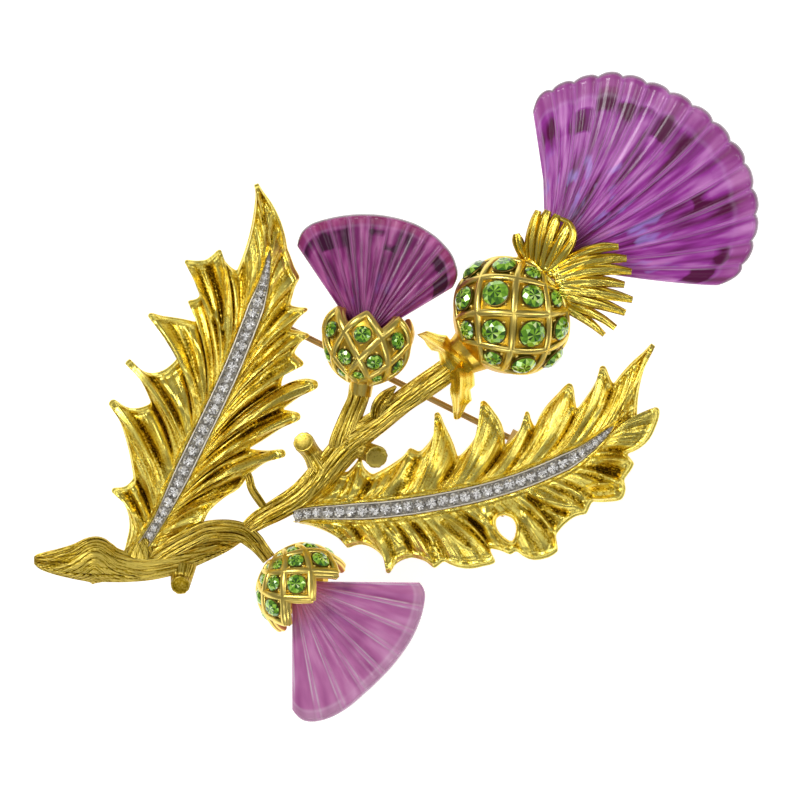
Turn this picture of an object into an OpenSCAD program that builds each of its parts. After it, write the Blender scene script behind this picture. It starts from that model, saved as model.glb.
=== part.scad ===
// Thistle spray brooch: two pierced leaves with stone-set midribs, a twig stem and
// three flower heads whose gold cups hold green stones and a clear purple tuft.
// It lies on its back: +X and +Y run across the front, +Z points out of the front.

/* [Brooch] */
// Width across the brooch, from the cut end of the stem to the rim of the large tuft
brooch_w = 94.8; // [92:0.1:98]
// Gap that is left between pieces that are soldered or set together
seam = 0.15; // [0.1:0.01:0.2]

/* [Leaves] */
// Thickness of the cast leaves
leaf_t = 1.2; // [1:0.1:1.4]
// Height of a leaflet's ridge above its valleys
fold_h = 0.9; // [0.5:0.1:1.1]
// Height of the leaf beside its midrib, at the middle of the leaf
leaf_z = 6.1; // [5.8:0.1:6.4]
// Height of the leaf at the notches of its edge
notch_z = 4.3; // [4:0.1:4.6]

/* [Stone strips] */
// Width of the silver strip with its two rims
strip_w = 2.2; // [2:0.1:2.4]
// Width of each rim
rim_w = 0.28; // [0.2:0.02:0.34]
// Height of the strip's floor above the groove, and of its rims above the floor
floor_t = 0.35; // [0.3:0.05:0.5]
rim_h = 0.6; // [0.4:0.05:0.8]
// Distance from one small stone to the next
strip_pitch = 1.55; // [1.5:0.05:1.8]

/* [Flower heads] */
// Outer radius of each cup, measured over its lattice
large_r = 7.8; // [7.6:0.1:7.9]
middle_r = 5.7; // [5.6:0.1:5.8]
small_r = 5.9; // [5.8:0.1:6]
// Height of the lattice bars above the cup's wall, and their width
bar_h = 0.8; // [0.6:0.05:0.9]
bar_w = 0.7; // [0.5:0.05:0.8]
// Thickness of the cup's wall
wall_t = 1.1; // [1:0.1:1.4]
// Depth of the grooves between the tufts' ribs
flute_h = 0.5; // [0.3:0.05:0.6]

/* [Pin] */
// Radius of the pin wire
wire_r = 0.42; // [0.35:0.01:0.45]
// Height of the wire above the surface that the brooch lies on
wire_z = 1.6; // [1.5:0.05:1.7]
// Radius of the rivet that the pin turns on, and its clearance in the pin's eye
rivet_r = 0.4; // [0.35:0.01:0.42]
rivet_gap = 0.08; // [0.06:0.01:0.1]

/* [Hidden] */
// The tables give places on the front view of the brooch in drawing steps, x to the
// right and y down, and at() turns them into millimetres from the brooch's middle.
step = brooch_w / 729;
middle = [397.5, 397];

large_stone_n = 14;
middle_stone_n = 10;
small_stone_n = 14;
large_stone_r = 1.8;

gold = [0.83, 0.66, 0.22];
dark_gold = [0.5, 0.33, 0.16];
silver = [0.72, 0.72, 0.74];
clear_stone = [0.85, 0.87, 0.9];
green_stone = [0.4, 0.68, 0.2];
violet = [0.6, 0.28, 0.66];

// Curves that all the pieces share

function at(p) = [(p.x - middle.x) * step, (middle.y - p.y) * step];
function mix(a, b, t) = a + (b - a) * t;
function unit(v) = v / max(norm(v), 1e-9);
function left_of(v) = [-v.y, v.x];
// A shallow arc from a to b that stands off the straight line by bow, to the left
function bowed(a, b, bow, t) = mix(a, b, t) + left_of(unit(b - a)) * bow * 4 * t * (1 - t);
// A smooth curve through a list of points, where s counts the points
function along(points, s) =
    let (last = len(points) - 1, i = min(floor(s), last - 1), t = s - i,
         a = points[max(i - 1, 0)], b = points[i], c = points[i + 1],
         d = points[min(i + 2, last)])
    (2 * b + (c - a) * t + (2 * a - 5 * b + 4 * c - d) * t * t
        + (3 * b - 3 * c + d - a) * t * t * t) / 2;
function along_mm(points, s) = at(along(points, s));
function heading(points, s) =
    unit(along_mm(points, min(s + 0.1, len(points) - 1)) - along_mm(points, max(s - 0.1, 0)));

// A closed skin over a row of rings that all have the same number of points
module skin(rings) {
    n = len(rings[0]);
    last = (len(rings) - 1) * n;
    polyhedron(
        points = [for (ring = rings) each ring],
        faces = concat(
            [[for (i = [0:n - 1]) i]],
            [for (k = [0:len(rings) - 2], i = [0:n - 1])
                let (a = k * n + i, b = k * n + (i + 1) % n)
                each [[a, a + n, b], [b, a + n, b + n]]],
            [[for (i = [n - 1:-1:0]) last + i]]));
}

// The oval sections of a rounded bar through rows of x, y, height, half width and
// half height
function ovals(rows, sides) =
    let (spots = [for (r = rows) at([r[0], r[1]])], last = len(rows) - 1)
    [for (i = [0:last])
        let (across = left_of(unit(spots[min(i + 1, last)] - spots[max(i - 1, 0)])))
        [for (k = [0:sides - 1])
            let (turn = 360 * (k + 0.5) / sides,
                 p = spots[i] + across * rows[i][3] * step * cos(turn))
            [p.x, p.y, rows[i][2] + rows[i][4] * sin(turn)]]];
module limb(rows, sides) {
    skin(ovals(rows, sides));
}
// A short straight bar
module stub(rows, sides) {
    hull() skin(ovals(rows, sides));
}

// The leaves. A leaf is its midrib, from the leaf's tip to its base, its two sides,
// the place on the midrib where its stone strip ends, and the strip's width there.
// Each row of a side is one lobe of the edge: the tip's x, y and height, how far the
// edge bows to the left before and after the tip, the notch after it, and the place
// on the midrib where the valley to that notch starts.
left_midrib = [[256.5, 184.5], [266, 213], [270.5, 242], [266, 275], [257, 305], [245, 337],
    [232, 369], [217, 402], [202, 433], [187, 464], [172, 495], [158, 522], [142, 547]];
left_outer_side = [
    [256.5, 184.5, 5.0, 0, 4.5, 236, 273, 4.2],
    [220, 252, 5.4, 2, 0, 206, 262, 5.2],
    [186.5, 262.5, 5.0, 0, 0, 200.5, 298, 5.8],
    [189.5, 303, 4.4, 1, 0, 197, 324, 6.2],
    [150, 316, 4.8, -1.5, 0, 179, 359, 7.2],
    [127, 362, 4.6, 11.5, 2, 152, 405, 8.4],
    [112, 402, 4.6, 5.5, 3, 134.5, 480, 10.4],
    [114.5, 490, 4.4, 2.8, 12, 122, 549, 12]];
left_inner_side = [
    [256.5, 184.5, 5.0, 0, 6, 286, 250, 3.1],
    [297.5, 279, 5.0, 0.5, 0, 288.5, 306.5, 5.6],
    [305.5, 310, 4.4, 0, 0, 288, 330.5, 6.1],
    [307, 336, 4.4, 1.3, -1.5, 292, 355, 6.7],
    [301, 363.5, 4.6, 0, -5.5, 279, 388, 7.5],
    [315.5, 384, 5.0, 5, 0, 280.5, 410.5, 8.2],
    [298, 416, 4.8, 0, 1, 247, 449.5, 9.3],
    [283.5, 453, 4.6, 0, -2, 250, 478, 9.9],
    [262, 502, 4.4, 2, 0, 240, 507, 10.5],
    [201, 519, 4.4, -2, -1, 160, 547, 11.7]];
right_midrib = [[653.5, 345], [634, 384], [622, 415], [605, 434], [578, 455], [548, 470],
    [516, 482.5], [482, 492.5], [448, 500], [413, 506], [378, 510], [343, 512], [308, 513.5],
    [288, 518]];
right_outer_side = [
    [653.5, 345, 5.0, 0, -2.5, 613, 384, 2.9],
    [603, 368, 4.8, 0, 1.5, 576, 411, 4.75],
    [570, 386, 4.8, -1, -5, 534, 429, 6],
    [527, 413.5, 4.4, 0, 3, 504, 447, 6.9],
    [483, 403, 4.8, -5.5, 5.5, 457, 459, 8.1],
    [437, 414.5, 4.6, -2.5, 5, 419, 454, 9.1],
    [411, 451, 4.4, 0, 1.5, 372, 476.5, 10.4],
    [360, 460, 4.4, 2, 0, 346, 475, 11.1],
    [344, 474.5, 4.2, 0, 0, 301, 506, 12.1]];
right_inner_side = [
    [653.5, 345, 5.0, 0, -3, 635, 417, 2.5],
    [656, 409, 4.8, -0.5, 10.5, 624.5, 453.5, 3.6],
    [631, 462, 5.2, 0, 1, 622, 479, 4.2],
    [620, 497, 4.8, 3, 2.5, 591, 500, 5],
    [585, 509.5, 4.4, 0, -3, 555, 533, 6],
    [556, 549, 4.4, 0, 10, 515, 548, 7],
    [511, 551, 4.2, 0, 0, 489, 546.5, 7.8],
    [493.5, 560, 4.4, 0, 7.5, 443, 559, 9],
    [435, 565, 4.2, 0, -1, 412, 555.5, 9.7],
    [388, 571, 4.4, -3, -4, 361, 542.5, 11],
    [348, 545, 4.2, 0, -4.5, 293, 522, 12.6]];
left_leaf_plan = [left_midrib, left_outer_side, left_inner_side, 11.9, 0.65];
right_leaf_plan = [right_midrib, right_outer_side, right_inner_side, 12.3, 0.42];

function tip_at(row) = at([row[0], row[1]]);
function notch_at(row) = at([row[5], row[6]]);
// The leaf's height beside its midrib, highest in the middle of the leaf
function rib_z(points, s) = leaf_z - 0.7 + 0.7 * sin(180 * s / (len(points) - 1));
// The strip starts near the leaf's tip, and narrows to both of its ends
strip_from = 2.1;
function strip_taper(plan, s) =
    min(1, 0.3 + 0.28 * max(0, s - strip_from), plan[4] + 0.2 * max(0, len(plan[0]) - 1 - s));
// The height of the groove that the strip lies in
function groove_z(plan, s) = rib_z(plan[0], s) - 1;
// side is -1 for a leaf's outer side and 1 for its inner side, and over is the
// distance from the midrib out to that side
function beside(plan, s, side, over) =
    along_mm(plan[0], s) + left_of(heading(plan[0], s)) * side * over;
function root_at(plan, s, side) =
    beside(plan, s, side, (strip_w / 2 + seam) * strip_taper(plan, s));

// A column of a leaf runs from its root beside the midrib out to the leaf's edge, and
// back below. crest is 0 in a valley and 1 on the ridge to a lobe's tip.
function swell(u) = 0.35 + 0.65 * sin(min(150 * u, 90)) - 0.75 * u * u * u;
function column(spots, root_z, out_z, crest) =
    let (shares = [0, 0.34, 0.7, 1], thick = [1.3, 1, 1, 0.7],
         top = [for (i = [0:3]) mix(root_z, out_z, shares[i]) + fold_h * crest * swell(shares[i])])
    concat([for (i = [0:3]) [spots[i].x, spots[i].y, top[i]]],
           [for (i = [3, 1, 0]) [spots[i].x, spots[i].y, top[i] - leaf_t * thick[i]]]);
function straight_spots(root, out, bow) =
    [for (u = [0, 0.34, 0.7, 1]) bowed(root, out, bow * norm(out - root), u)];

// An edge from a to b is drawn with more points where it bows more
function edge_steps(bow) = abs(bow) < 1.2 ? 1 : abs(bow) < 6 ? 2 : 3;
// The columns of one edge, with the midrib places, heights and crests of its two ends,
// and how far each column bows to its left, as a share of its length
function edge_columns(plan, side, a, b, bow, s_a, s_b, z_a, z_b, crest_a, crest_b, vein) =
    let (n = edge_steps(bow))
    [for (k = [1:n])
        let (t = k / n, s = mix(s_a, s_b, t), root = root_at(plan, s, side))
        column(straight_spots(root, bowed(a, b, bow * step, t), vein),
            rib_z(plan[0], s), mix(z_a, z_b, t), mix(crest_a, crest_b, t))];

// One side of a leaf, from the middle line of the leaf's tip to the leaf's base
module leaf_side(plan, side) {
    rows = plan[side < 0 ? 1 : 2];
    tip_s = strip_from - 0.15;
    vein = 0.06 * side;
    middle_spots = [for (u = [0, 0.34, 0.7, 1]) beside(plan, mix(tip_s, 0.02, u), side, -0.3 * (1 - u))];
    // Where the first notch is far from the tip, one more column turns from the middle
    // line to the root beside the strip's end
    far_notch = rows[0][7] > strip_from + 1.5;
    early = 0.1;
    early_s = mix(tip_s, rows[0][7], early);
    early_edge = bowed(tip_at(rows[0]), notch_at(rows[0]), rows[0][4] * step, early);
    first = concat(
        [column(middle_spots, rib_z(plan[0], tip_s) - 0.25, rows[0][2] - 0.15, 0.8)],
        far_notch ? [column(straight_spots(root_at(plan, early_s, side), early_edge, 0),
            rib_z(plan[0], early_s) - 0.1, mix(rows[0][2], notch_z, early), 0.9)] : [],
        edge_columns(plan, side, tip_at(rows[0]), notch_at(rows[0]), rows[0][4],
            tip_s, rows[0][7], rows[0][2], notch_z, 1, 0, 0));
    lobes = [for (i = [1:len(rows) - 1])
        let (from = rows[i - 1], row = rows[i], s = (from[7] + row[7]) / 2)
        each concat(
            edge_columns(plan, side, notch_at(from), tip_at(row), row[3],
                from[7], s, notch_z, row[2], 0, 1, vein),
            edge_columns(plan, side, tip_at(row), notch_at(row), row[4],
                s, row[7], row[2], notch_z, 1, 0, vein))];
    columns = concat(first, lobes);
    skin(side < 0 ? columns : [for (i = [len(columns) - 1:-1:0]) columns[i]]);
}

// The rings of a band along a midrib, where profile is the outline of its section as
// pairs of half width, measured before the taper, and height above the groove; crowd
// above 1 sets the rings closer together at the leaf's tip
function band_rings(plan, from, to, profile, crowd) =
    [for (k = [0:11])
        let (s = mix(from, to, pow(k / 11, crowd)), p = along_mm(plan[0], s),
             side = left_of(heading(plan[0], s)) * strip_taper(plan, s))
        [for (q = profile) let (w = p + side * q.x) [w.x, w.y, groove_z(plan, s) + q.y]]];

// A leaf: its two sides, and the bar below its groove that joins them
module leaf(plan) {
    half_w = strip_w / 2 + 0.5;
    bar_rings = band_rings(plan, strip_from - 0.1, plan[3] - 0.2,
        [[-half_w, -1.1], [half_w, -1.1], [half_w, 0], [-half_w, 0]], 1);
    leaf_side(plan, -1);
    leaf_side(plan, 1);
    for (i = [0:len(bar_rings) - 2]) hull() skin([bar_rings[i], bar_rings[i + 1]]);
}

module left_leaf() {
    color(gold) leaf(left_leaf_plan);
}

// A drop-shaped opening pierces the right leaf near its lower edge
module right_leaf() {
    hole = [[505, 519, 3.4], [501, 529, 6.5], [508, 535, 8]];
    color(gold) difference() {
        leaf(right_leaf_plan);
        hull() for (h = hole)
            translate([at(h).x, at(h).y, 0]) cylinder(h = 9, r = h[2] * step, $fn = 12);
    }
}

// A silver strip: a floor with a raised rim along each side
module strip(plan) {
    low = 0.1;
    floor_z = low + floor_t;
    top = floor_z + rim_h;
    outer = strip_w / 2;
    inner = outer - rim_w;
    color(silver) skin(band_rings(plan, strip_from + 0.15, plan[3],
        [[-outer, low], [outer, low], [outer, top], [inner, top], [inner, floor_z],
         [-inner, floor_z], [-inner, top], [-outer, top]], 1.3));
}
module left_strip() strip(left_leaf_plan);
module right_strip() strip(right_leaf_plan);

// A cut stone: a flat table, eight facets above its girdle and eight below it
module cut_stone(r, top_h, low_h) {
    hull() rotate_extrude($fn = 8) polygon([[0, -low_h], [r, 0], [r * 0.58, top_h], [0, top_h]]);
}

// A row of small stones, evenly spaced along the strip
module strip_stones(plan) {
    marks = [for (i = [0:100]) mix(strip_from + 0.55, plan[3] - 0.25, i / 100)];
    spots = [for (s = marks) along_mm(plan[0], s)];
    // Length along the midrib up to each mark, so that lookup() finds the place
    sums = [for (i = 0, sum = 0; i <= 100;
                 sum = sum + (i < 100 ? norm(spots[i + 1] - spots[i]) : 0), i = i + 1)
        [sum, marks[i]]];
    color(clear_stone) for (i = [0:floor(sums[100][0] / strip_pitch)]) {
        s = lookup(i * strip_pitch, sums);
        p = along_mm(plan[0], s);
        r = min(strip_pitch / 2 - 0.06, (strip_w / 2 - rim_w) * strip_taper(plan, s) - 0.06);
        translate([p.x, p.y, groove_z(plan, s) + 0.1 + floor_t + 0.12 + 0.35])
            rotate(11 * i) cut_stone(r, 0.4, 0.35);
    }
}
module left_strip_stones() strip_stones(left_leaf_plan);
module right_strip_stones() strip_stones(right_leaf_plan);

// The stem: rows of x, y, height, half width and half height. A branch starts with a
// small section inside the piece that it grows from.
butt_end = [[36, 560, 4.4, 5, 0.6], [46, 560, 4.4, 8.5, 1.1], [60, 560, 4.5, 12, 1.4],
    [83, 558.5, 4.6, 20, 1.8], [97, 558, 4.6, 23, 1.9], [112, 563, 4.6, 18.5, 1.8],
    [124, 566.5, 4.6, 15.5, 1.8], [145, 566, 4.6, 14, 1.7], [168, 562, 4.6, 11.5, 1.5],
    [190, 557, 4.4, 10, 1.3], [210, 552, 4.2, 8, 1.1], [228, 549, 4.1, 5, 0.9],
    [241, 546, 4, 1.5, 0.4]];
arch = [[138, 571, 4.8, 4, 0.6], [160, 557, 4.9, 10, 1.2], [175, 547, 4.9, 10, 1.3],
    [190, 539, 4.9, 10, 1.3], [207, 531.5, 4.9, 10, 1.2], [228, 530, 4.9, 10, 1.2],
    [243, 533, 4.8, 9.5, 1.2], [254, 541, 4.7, 8.5, 1.1], [262, 550, 4.6, 7, 1],
    [269, 559, 4.5, 6.5, 1]];
main_stem = [[252, 524, 4.6, 4, 0.7], [262, 518, 4.6, 8, 1.1], [280, 509, 4.7, 10.5, 1.4],
    [303, 493, 4.7, 12.5, 1.5], [325, 471, 4.7, 14, 1.6], [343, 451, 4.7, 14.5, 1.6],
    [362, 433, 4.7, 13, 1.5], [380, 420, 4.7, 11.5, 1.5], [402, 402, 4.8, 11.5, 1.5],
    [422, 388, 4.9, 12, 1.5], [441.5, 374.5, 5, 12, 1.5]];
// The middle head's branch, the short fork to the arch, a bract and three cut stubs,
// each with a wider cut end
middle_branch = [[332, 464, 5, 5, 0.6], [340, 444, 4.9, 11, 1.3], [351, 416, 4.9, 10.5, 1.3],
    [357.5, 400, 5, 10, 1.3], [360.5, 387, 5, 11, 1.3]];
fork = [[258, 516, 4.6, 4, 0.6], [256, 527, 4.75, 7, 1], [257, 540, 4.7, 4, 0.6]];
stem_bract = [[374, 426, 5, 2, 0.5], [377, 410, 6, 6, 0.9], [384, 398, 6.2, 6, 0.8],
    [396, 386, 6.2, 1.5, 0.4]];
lower_stub = [[188, 554, 4.4, 4, 0.5], [183, 572, 4.8, 9, 1.3], [181, 584, 5.1, 9, 1.4]];
lower_end = [[181, 581, 5.15, 8, 1.2], [180, 585, 5.2, 11, 1.7], [180, 592, 5.2, 10.5, 1.6],
    [179.5, 596, 5.2, 6, 1.1]];
left_stub = [[324, 472, 4.8, 4, 0.5], [313, 458, 4.9, 7, 1.05], [305, 445, 5.1, 7, 1.15]];
left_end = [[306.5, 448, 5.1, 6, 1.1], [304, 443.5, 5.2, 9.5, 1.5], [301.5, 436, 5.2, 9, 1.45],
    [300, 431.5, 5.2, 5.5, 1]];
right_stub = [[340, 446, 4.9, 4, 0.5], [356, 450, 5, 7, 1.1], [368, 453, 5.1, 8, 1.3]];
right_end = [[364, 452, 5.15, 7, 1.1], [369, 453.5, 5.2, 11.5, 1.7], [380, 457.5, 5.3, 11.5, 1.7],
    [385, 459.5, 5.3, 7, 1.2]];

module stem() {
    color(gold) {
        for (rows = [butt_end, arch, main_stem]) limb(rows, 8);
        for (rows = [middle_branch, fork, stem_bract, lower_stub, lower_end, left_stub,
                     left_end, right_stub, right_end])
            stub(rows, 8);
    }
}

// The flower heads. Columns: the ball's x, y and height, its radius, the way its axis
// points, the turn from one lattice cell to the next, the turn of the first row, the
// first row's place and the distance between rows, both as logarithmic latitude.
large_head = [511, 316, 5.5, large_r, 42, 54, 27, -57, 27];
middle_head = [367.5, 343, 5.9, middle_r, 80, 48, 8, -10, 35];
small_head = [302, 588, 4.3, small_r, -45, 51, 0, 10.5, 26];
// Rows of cells, first and last cell of each row counted from the row's own turn
large_cells = [[-1, 0], [-2, 0], [-2, 1], [-2, 0], [-1, 0]];
middle_cells = [[-1, 1], [-2, 1], [-1, 1]];
small_cells = [[-2, 2], [-2, 1], [-1, 1], [-1, 0]];

// A point of the ball at a turn round its axis and a logarithmic latitude m
function polar(m) = 2 * atan(exp(m * PI / 180));
function on_ball(turn, m) = [cos(polar(m)), sin(polar(m)) * sin(turn), sin(polar(m)) * cos(turn)];
function cells(head, rows) =
    [for (i = [0:len(rows) - 1], k = [rows[i][0]:rows[i][1]])
        [head[6] + head[5] * (k + (i % 2) / 2), head[7] + head[8] * i]];

module facing(dir) {
    rotate([0, acos(dir.z), atan2(dir.y, dir.x)]) children();
}
module at_head(head) {
    translate([at(head).x, at(head).y, head[2]]) rotate(head[4]) children();
}

// One bar of the lattice between two crossings: a low roof that follows the ball
module bar(a, b, r) {
    foot = r - bar_h - 0.25;
    part = (b - a) * 0.05;
    hull() skin([for (t = [0, 0.5, 1])
        let (c = mix(a, b, t), p = on_ball(c[0], c[1]),
             way = on_ball(c[0] + part[0], c[1] + part[1]) - on_ball(c[0] - part[0], c[1] - part[1]),
             side = unit(cross(p, way)) * bar_w * 0.7)
        [p * r, p * foot + side, p * foot - side]]);
}
function has_cell(list, turn, m) =
    len([for (c = list) if (abs(c[0] - turn) < 1 && abs(c[1] - m) < 1) c]) > 0;
module lattice(head, rows) {
    half = head[5] / 2;
    low = head[8];
    list = cells(head, rows);
    for (c = list, side = [-half, half]) {
        bar([c[0] + side, c[1]], [c[0], c[1] - low], head[3]);
        if (!has_cell(list, c[0] + side, c[1] + low))
            bar([c[0] + side, c[1]], [c[0], c[1] + low], head[3]);
    }
}

// The stones of a row get smaller towards the ball's ends
function stone_size(head, rows, i, r) = r * sin(polar(cells(head, rows)[i - 1][1]));
module at_stone(head, rows, i, size) {
    c = cells(head, rows)[i - 1];
    p = on_ball(c[0], c[1]);
    at_head(head) translate(p * (head[3] - bar_h + 0.12 + size * 0.3)) facing(p) children();
}
module set_stone(head, rows, i, r) {
    size = stone_size(head, rows, i, r);
    color(green_stone) at_stone(head, rows, i, size) cut_stone(size, size * 0.3, size * 0.3);
}
// The room that the collar leaves round a stone beside it
module stone_room(head, rows, i, r) {
    size = stone_size(head, rows, i, r);
    wide = size + 0.1;
    at_stone(head, rows, i, size) rotate_extrude($fn = 8)
        polygon([[0, -size * 0.3 - 0.03], [wide, 0], [wide, 2.5], [0, 2.5]]);
}

// Strands of the large head's crown, as rows for limb()
crown = [
    [[533, 272, 6.2, 6, 1.1], [521, 249, 6.6, 5, 0.9], [515, 233, 7.2, 2.5, 0.5]],
    [[540, 273, 7, 9, 1.2], [534, 240, 7.9, 6, 0.9], [536, 213, 8.2, 2.5, 0.5]],
    [[546, 273, 7.6, 9, 1.2], [543, 238, 8.6, 6, 0.8], [547, 210, 8.6, 2.5, 0.5]],
    [[550, 274, 7.9, 9, 1.2], [554, 240, 9, 6, 0.8], [557, 217, 9, 2.5, 0.4]],
    [[550, 276, 8.2, 9, 1.2], [568, 247, 9.2, 6, 0.8], [573, 229, 9.6, 3.5, 0.6],
     [562, 217, 9.6, 2, 0.4]],
    [[548, 279, 8.4, 9, 1.2], [587, 254, 9.4, 5.5, 0.8], [617, 249, 9.6, 2, 0.4]],
    [[549, 281, 8.5, 9, 1.2], [591, 266, 9.4, 6, 0.8], [624, 258, 9.6, 2, 0.4]],
    [[550, 285, 8.5, 9, 1.2], [595, 275, 9.3, 6, 0.8], [632, 270, 9.5, 2, 0.4]],
    [[551, 289, 8.4, 9, 1.2], [594, 285, 9.1, 6, 0.8], [623, 283, 9.1, 2, 0.4]],
    [[552, 296, 8.2, 9, 1.2], [597, 294.5, 8.8, 6, 0.8], [630, 301, 9, 2, 0.4]],
    [[553, 302, 7.8, 9, 1.2], [597, 303, 8.4, 6, 0.8], [623, 310, 8.4, 2, 0.4]],
    [[556, 309, 7, 8, 1.1], [595, 313, 7.6, 6, 0.8], [614, 328, 7.8, 2, 0.4]],
    [[558, 316, 6.2, 6, 1.1], [588, 321, 6.8, 5, 0.8], [604, 335, 6.8, 2, 0.4]]];
left_sepal = [[455, 355, 5.4, 12, 1.4], [441, 347, 5.8, 9, 0.7], [429, 339, 6.2, 7, 0.5],
    [418, 335, 6.6, 2, 0.4]];
lower_sepal = [[460, 362, 6, 12, 1.2], [461, 382, 6.6, 11.5, 0.7], [461, 398, 6.8, 9.5, 0.6],
    [458, 409, 6.6, 7, 0.5], [456, 419, 6.2, 2, 0.3]];
// The gold collar that the strands grow from
collar = [[526, 300, 6.6, 20, 2.6], [539, 288, 7.8, 30, 2.1], [550, 277, 8.4, 33, 1.4],
    [560, 267, 8.6, 27, 0.8]];
cup_neck = [[474, 348, 5.4, 19, 2.4], [460, 358, 5.3, 15, 2], [449, 368, 5.2, 12.5, 1.7],
    [443, 373.3, 5.1, 12.5, 1.6]];

middle_foot = [[364, 369, 5.5, 9, 1.6], [361.5, 385, 5.1, 11, 1.4]];
small_foot = [[286, 580, 4.5, 9, 1.5], [276, 569, 4.5, 7, 1.1], [270.5, 561.5, 4.5, 6.5, 1]];

// A cup: a round wall cut flat at the back, with the lattice raised on it
module cup(head, rows, back_z) {
    difference() {
        union() {
            at_head(head) {
                sphere(r = head[3] - bar_h, $fn = 20);
                lattice(head, rows);
            }
            children(0);
        }
        translate([0, 0, back_z - 10]) cube([200, 200, 20], center = true);
        children(1);
    }
}

// The large cup is closed over the tuft's peg, and its crown stands round the tuft
module large_cup() {
    color(gold) cup(large_head, large_cells, 0) {
        union() {
            for (rows = crown) limb(rows, 6);
            limb(collar, 12);
            limb(left_sepal, 8);
            limb(lower_sepal, 8);
            limb(cup_neck, 8);
        }
        union() {
            at_head(large_head) sphere(r = large_r - bar_h - wall_t, $fn = 16);
            peg_room(large_tuft_rows, seam);
            tuft_room(large_tuft_rows);
            for (i = [1, 2]) stone_room(large_head, large_cells, i, large_stone_r);
        }
    }
}
// The other two cups are open, with a zigzag rim along their first row of cells
module open_cup(head, rows, foot, back_z) {
    inner = head[3] - bar_h - wall_t;
    color(gold) cup(head, rows, back_z) {
        limb(foot, 8);
        at_head(head) {
            sphere(r = inner, $fn = 16);
            zigzag_room(head);
        }
    }
}
// What lies above the zigzag rim: a wedge from the ball's middle for each gap, and a
// cone over all of them
module zigzag_room(head) {
    half = head[5] / 2;
    low = head[7] - 6;
    top = low - head[8];
    reach = head[3] * 1.4;
    for (k = [-4:3]) {
        turn = head[6] + head[5] * (k + 0.5);
        corners = [for (c = [[turn, low], [turn - half, top], [turn - half - 3, top - 30],
                             [turn + half + 3, top - 30], [turn + half, top]])
            on_ball(c[0], c[1]) * reach];
        hull() skin([[for (p = corners) p * 0.001], corners]);
    }
    rotate([0, 90, 0]) cylinder(h = reach, r1 = 0, r2 = reach * tan(polar(top) - 8), $fn = 16);
}
module middle_cup() open_cup(middle_head, middle_cells, middle_foot, 2.8);
module small_cup() open_cup(small_head, small_cells, small_foot, 0);

// The tufts. Each is its ribs' apex, the heights of its middle and half thickness
// near the apex and at the rim, the number of ribs, its rim as angle and radius, its
// first and last angle at the apex, and the depth of the scallops of its rim.
large_tuft_rows = [[545, 264], [5.5, 2.1], [2.9, 2.9], 13, [[-7, 178], [-3, 196], [5, 211],
    [14, 222], [28, 229], [43, 224], [58, 214], [70, 205], [82, 185], [94, 161]],
    [-9.5, 87], 0.25];
middle_tuft_rows = [[362, 342], [5.9, 2.4], [5.6, 2.6], 10, [[31, 106], [33, 115], [37, 120],
    [44, 126], [54, 129], [65, 130], [75, 129], [89, 128], [102, 128], [114, 129],
    [120, 125], [124, 116]], [31, 113], 0];
small_tuft_rows = [[297, 580], [4.3, 2.4], [2.4, 2.4], 9, [[-94, 126], [-91, 136], [-88, 142],
    [-83, 143], [-74, 139], [-63, 132.5], [-53, 128.5], [-42, 127], [-31, 127],
    [-19, 128], [-7, 130], [-3, 127], [-1.8, 121]], [-94, -3], 0];

module tuft(rows, from) {
    n = rows[3] * 2;
    color(violet) translate([at(rows[0]).x, at(rows[0]).y, 0])
        skin([for (j = [0:n]) tuft_ring(rows, j / n, from, j % 2)]);
}
// One section of a tuft, at a share of the way across; in_groove is 1 between two ribs
function tuft_ring(rows, share, from, in_groove) =
    let (rim = rows[4], turn = mix(rim[0][0], rim[len(rim) - 1][0], share),
         turn_in = mix(rows[5][0], rows[5][1], share),
         reach = lookup(turn, rim) * step - rows[6] * in_groove,
         side = 2 * share - 1, dome = 0.3 + 0.7 * sqrt(max(0, 1 - side * side)))
    [for (p = [[0, 1], [0.35, 1], [0.75, 1], [0.98, 1], [1, 0.8], [1, -0.8], [0.98, -1],
               [0.35, -1], [0, -1]])
        let (r = mix(from, reach, p[0]), u = r / reach, a = mix(turn_in, turn, u * u),
             z = mix(rows[1][0], rows[2][0], u), h = mix(rows[1][1], rows[2][1], u) * dome,
             groove = flute_h * in_groove * u * (p[1] > 0 ? 1 : -0.3))
        [r * cos(a), r * sin(a), z + p[1] * h - groove]];

// The large tuft's peg, and the room for the peg and the tuft in the large cup
module peg_room(rows, grow) {
    turn = large_head[4] + 12;
    translate([at(rows[0]).x, at(rows[0]).y, rows[1][0]]) rotate([0, 90, turn])
        translate([0, 0, -3]) cylinder(h = 4.2 + grow, r = 1.5 + grow, $fn = 16);
}
module tuft_room(rows) {
    translate([at(rows[0]).x, at(rows[0]).y, 0]) rotate(large_head[4] + 1.5)
        hull() {
            translate([0.6, -0.5, rows[1][0] - 1.2]) cube([0.1, 1, 2.4]);
            translate([16, -17, rows[1][0] - 4.5]) cube([0.1, 34, 7.1]);
        }
}
module large_tuft() {
    color(violet) union() {
        tuft(large_tuft_rows, 1);
        intersection() {
            peg_room(large_tuft_rows, 0);
            at_head(large_head) sphere(r = large_r * 2, $fn = 20);
        }
    }
}
module middle_tuft() tuft(middle_tuft_rows, 1.6);
module small_tuft() tuft(small_tuft_rows, 1.6);

// The pin behind the brooch, from its hinge on the right leaf to its catch on the left
hinge_at = at([520, 443]);
point_at = at([240, 304]);
pin_way = point_at - hinge_at;
pin_length = norm(pin_way);
module on_pin() {
    translate([hinge_at.x, hinge_at.y, wire_z]) rotate(atan2(pin_way.y, pin_way.x)) children();
}
module across(h, r) {
    rotate([90, 0, 0]) cylinder(h = h, r = r, center = true, $fn = 48);
}

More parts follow.
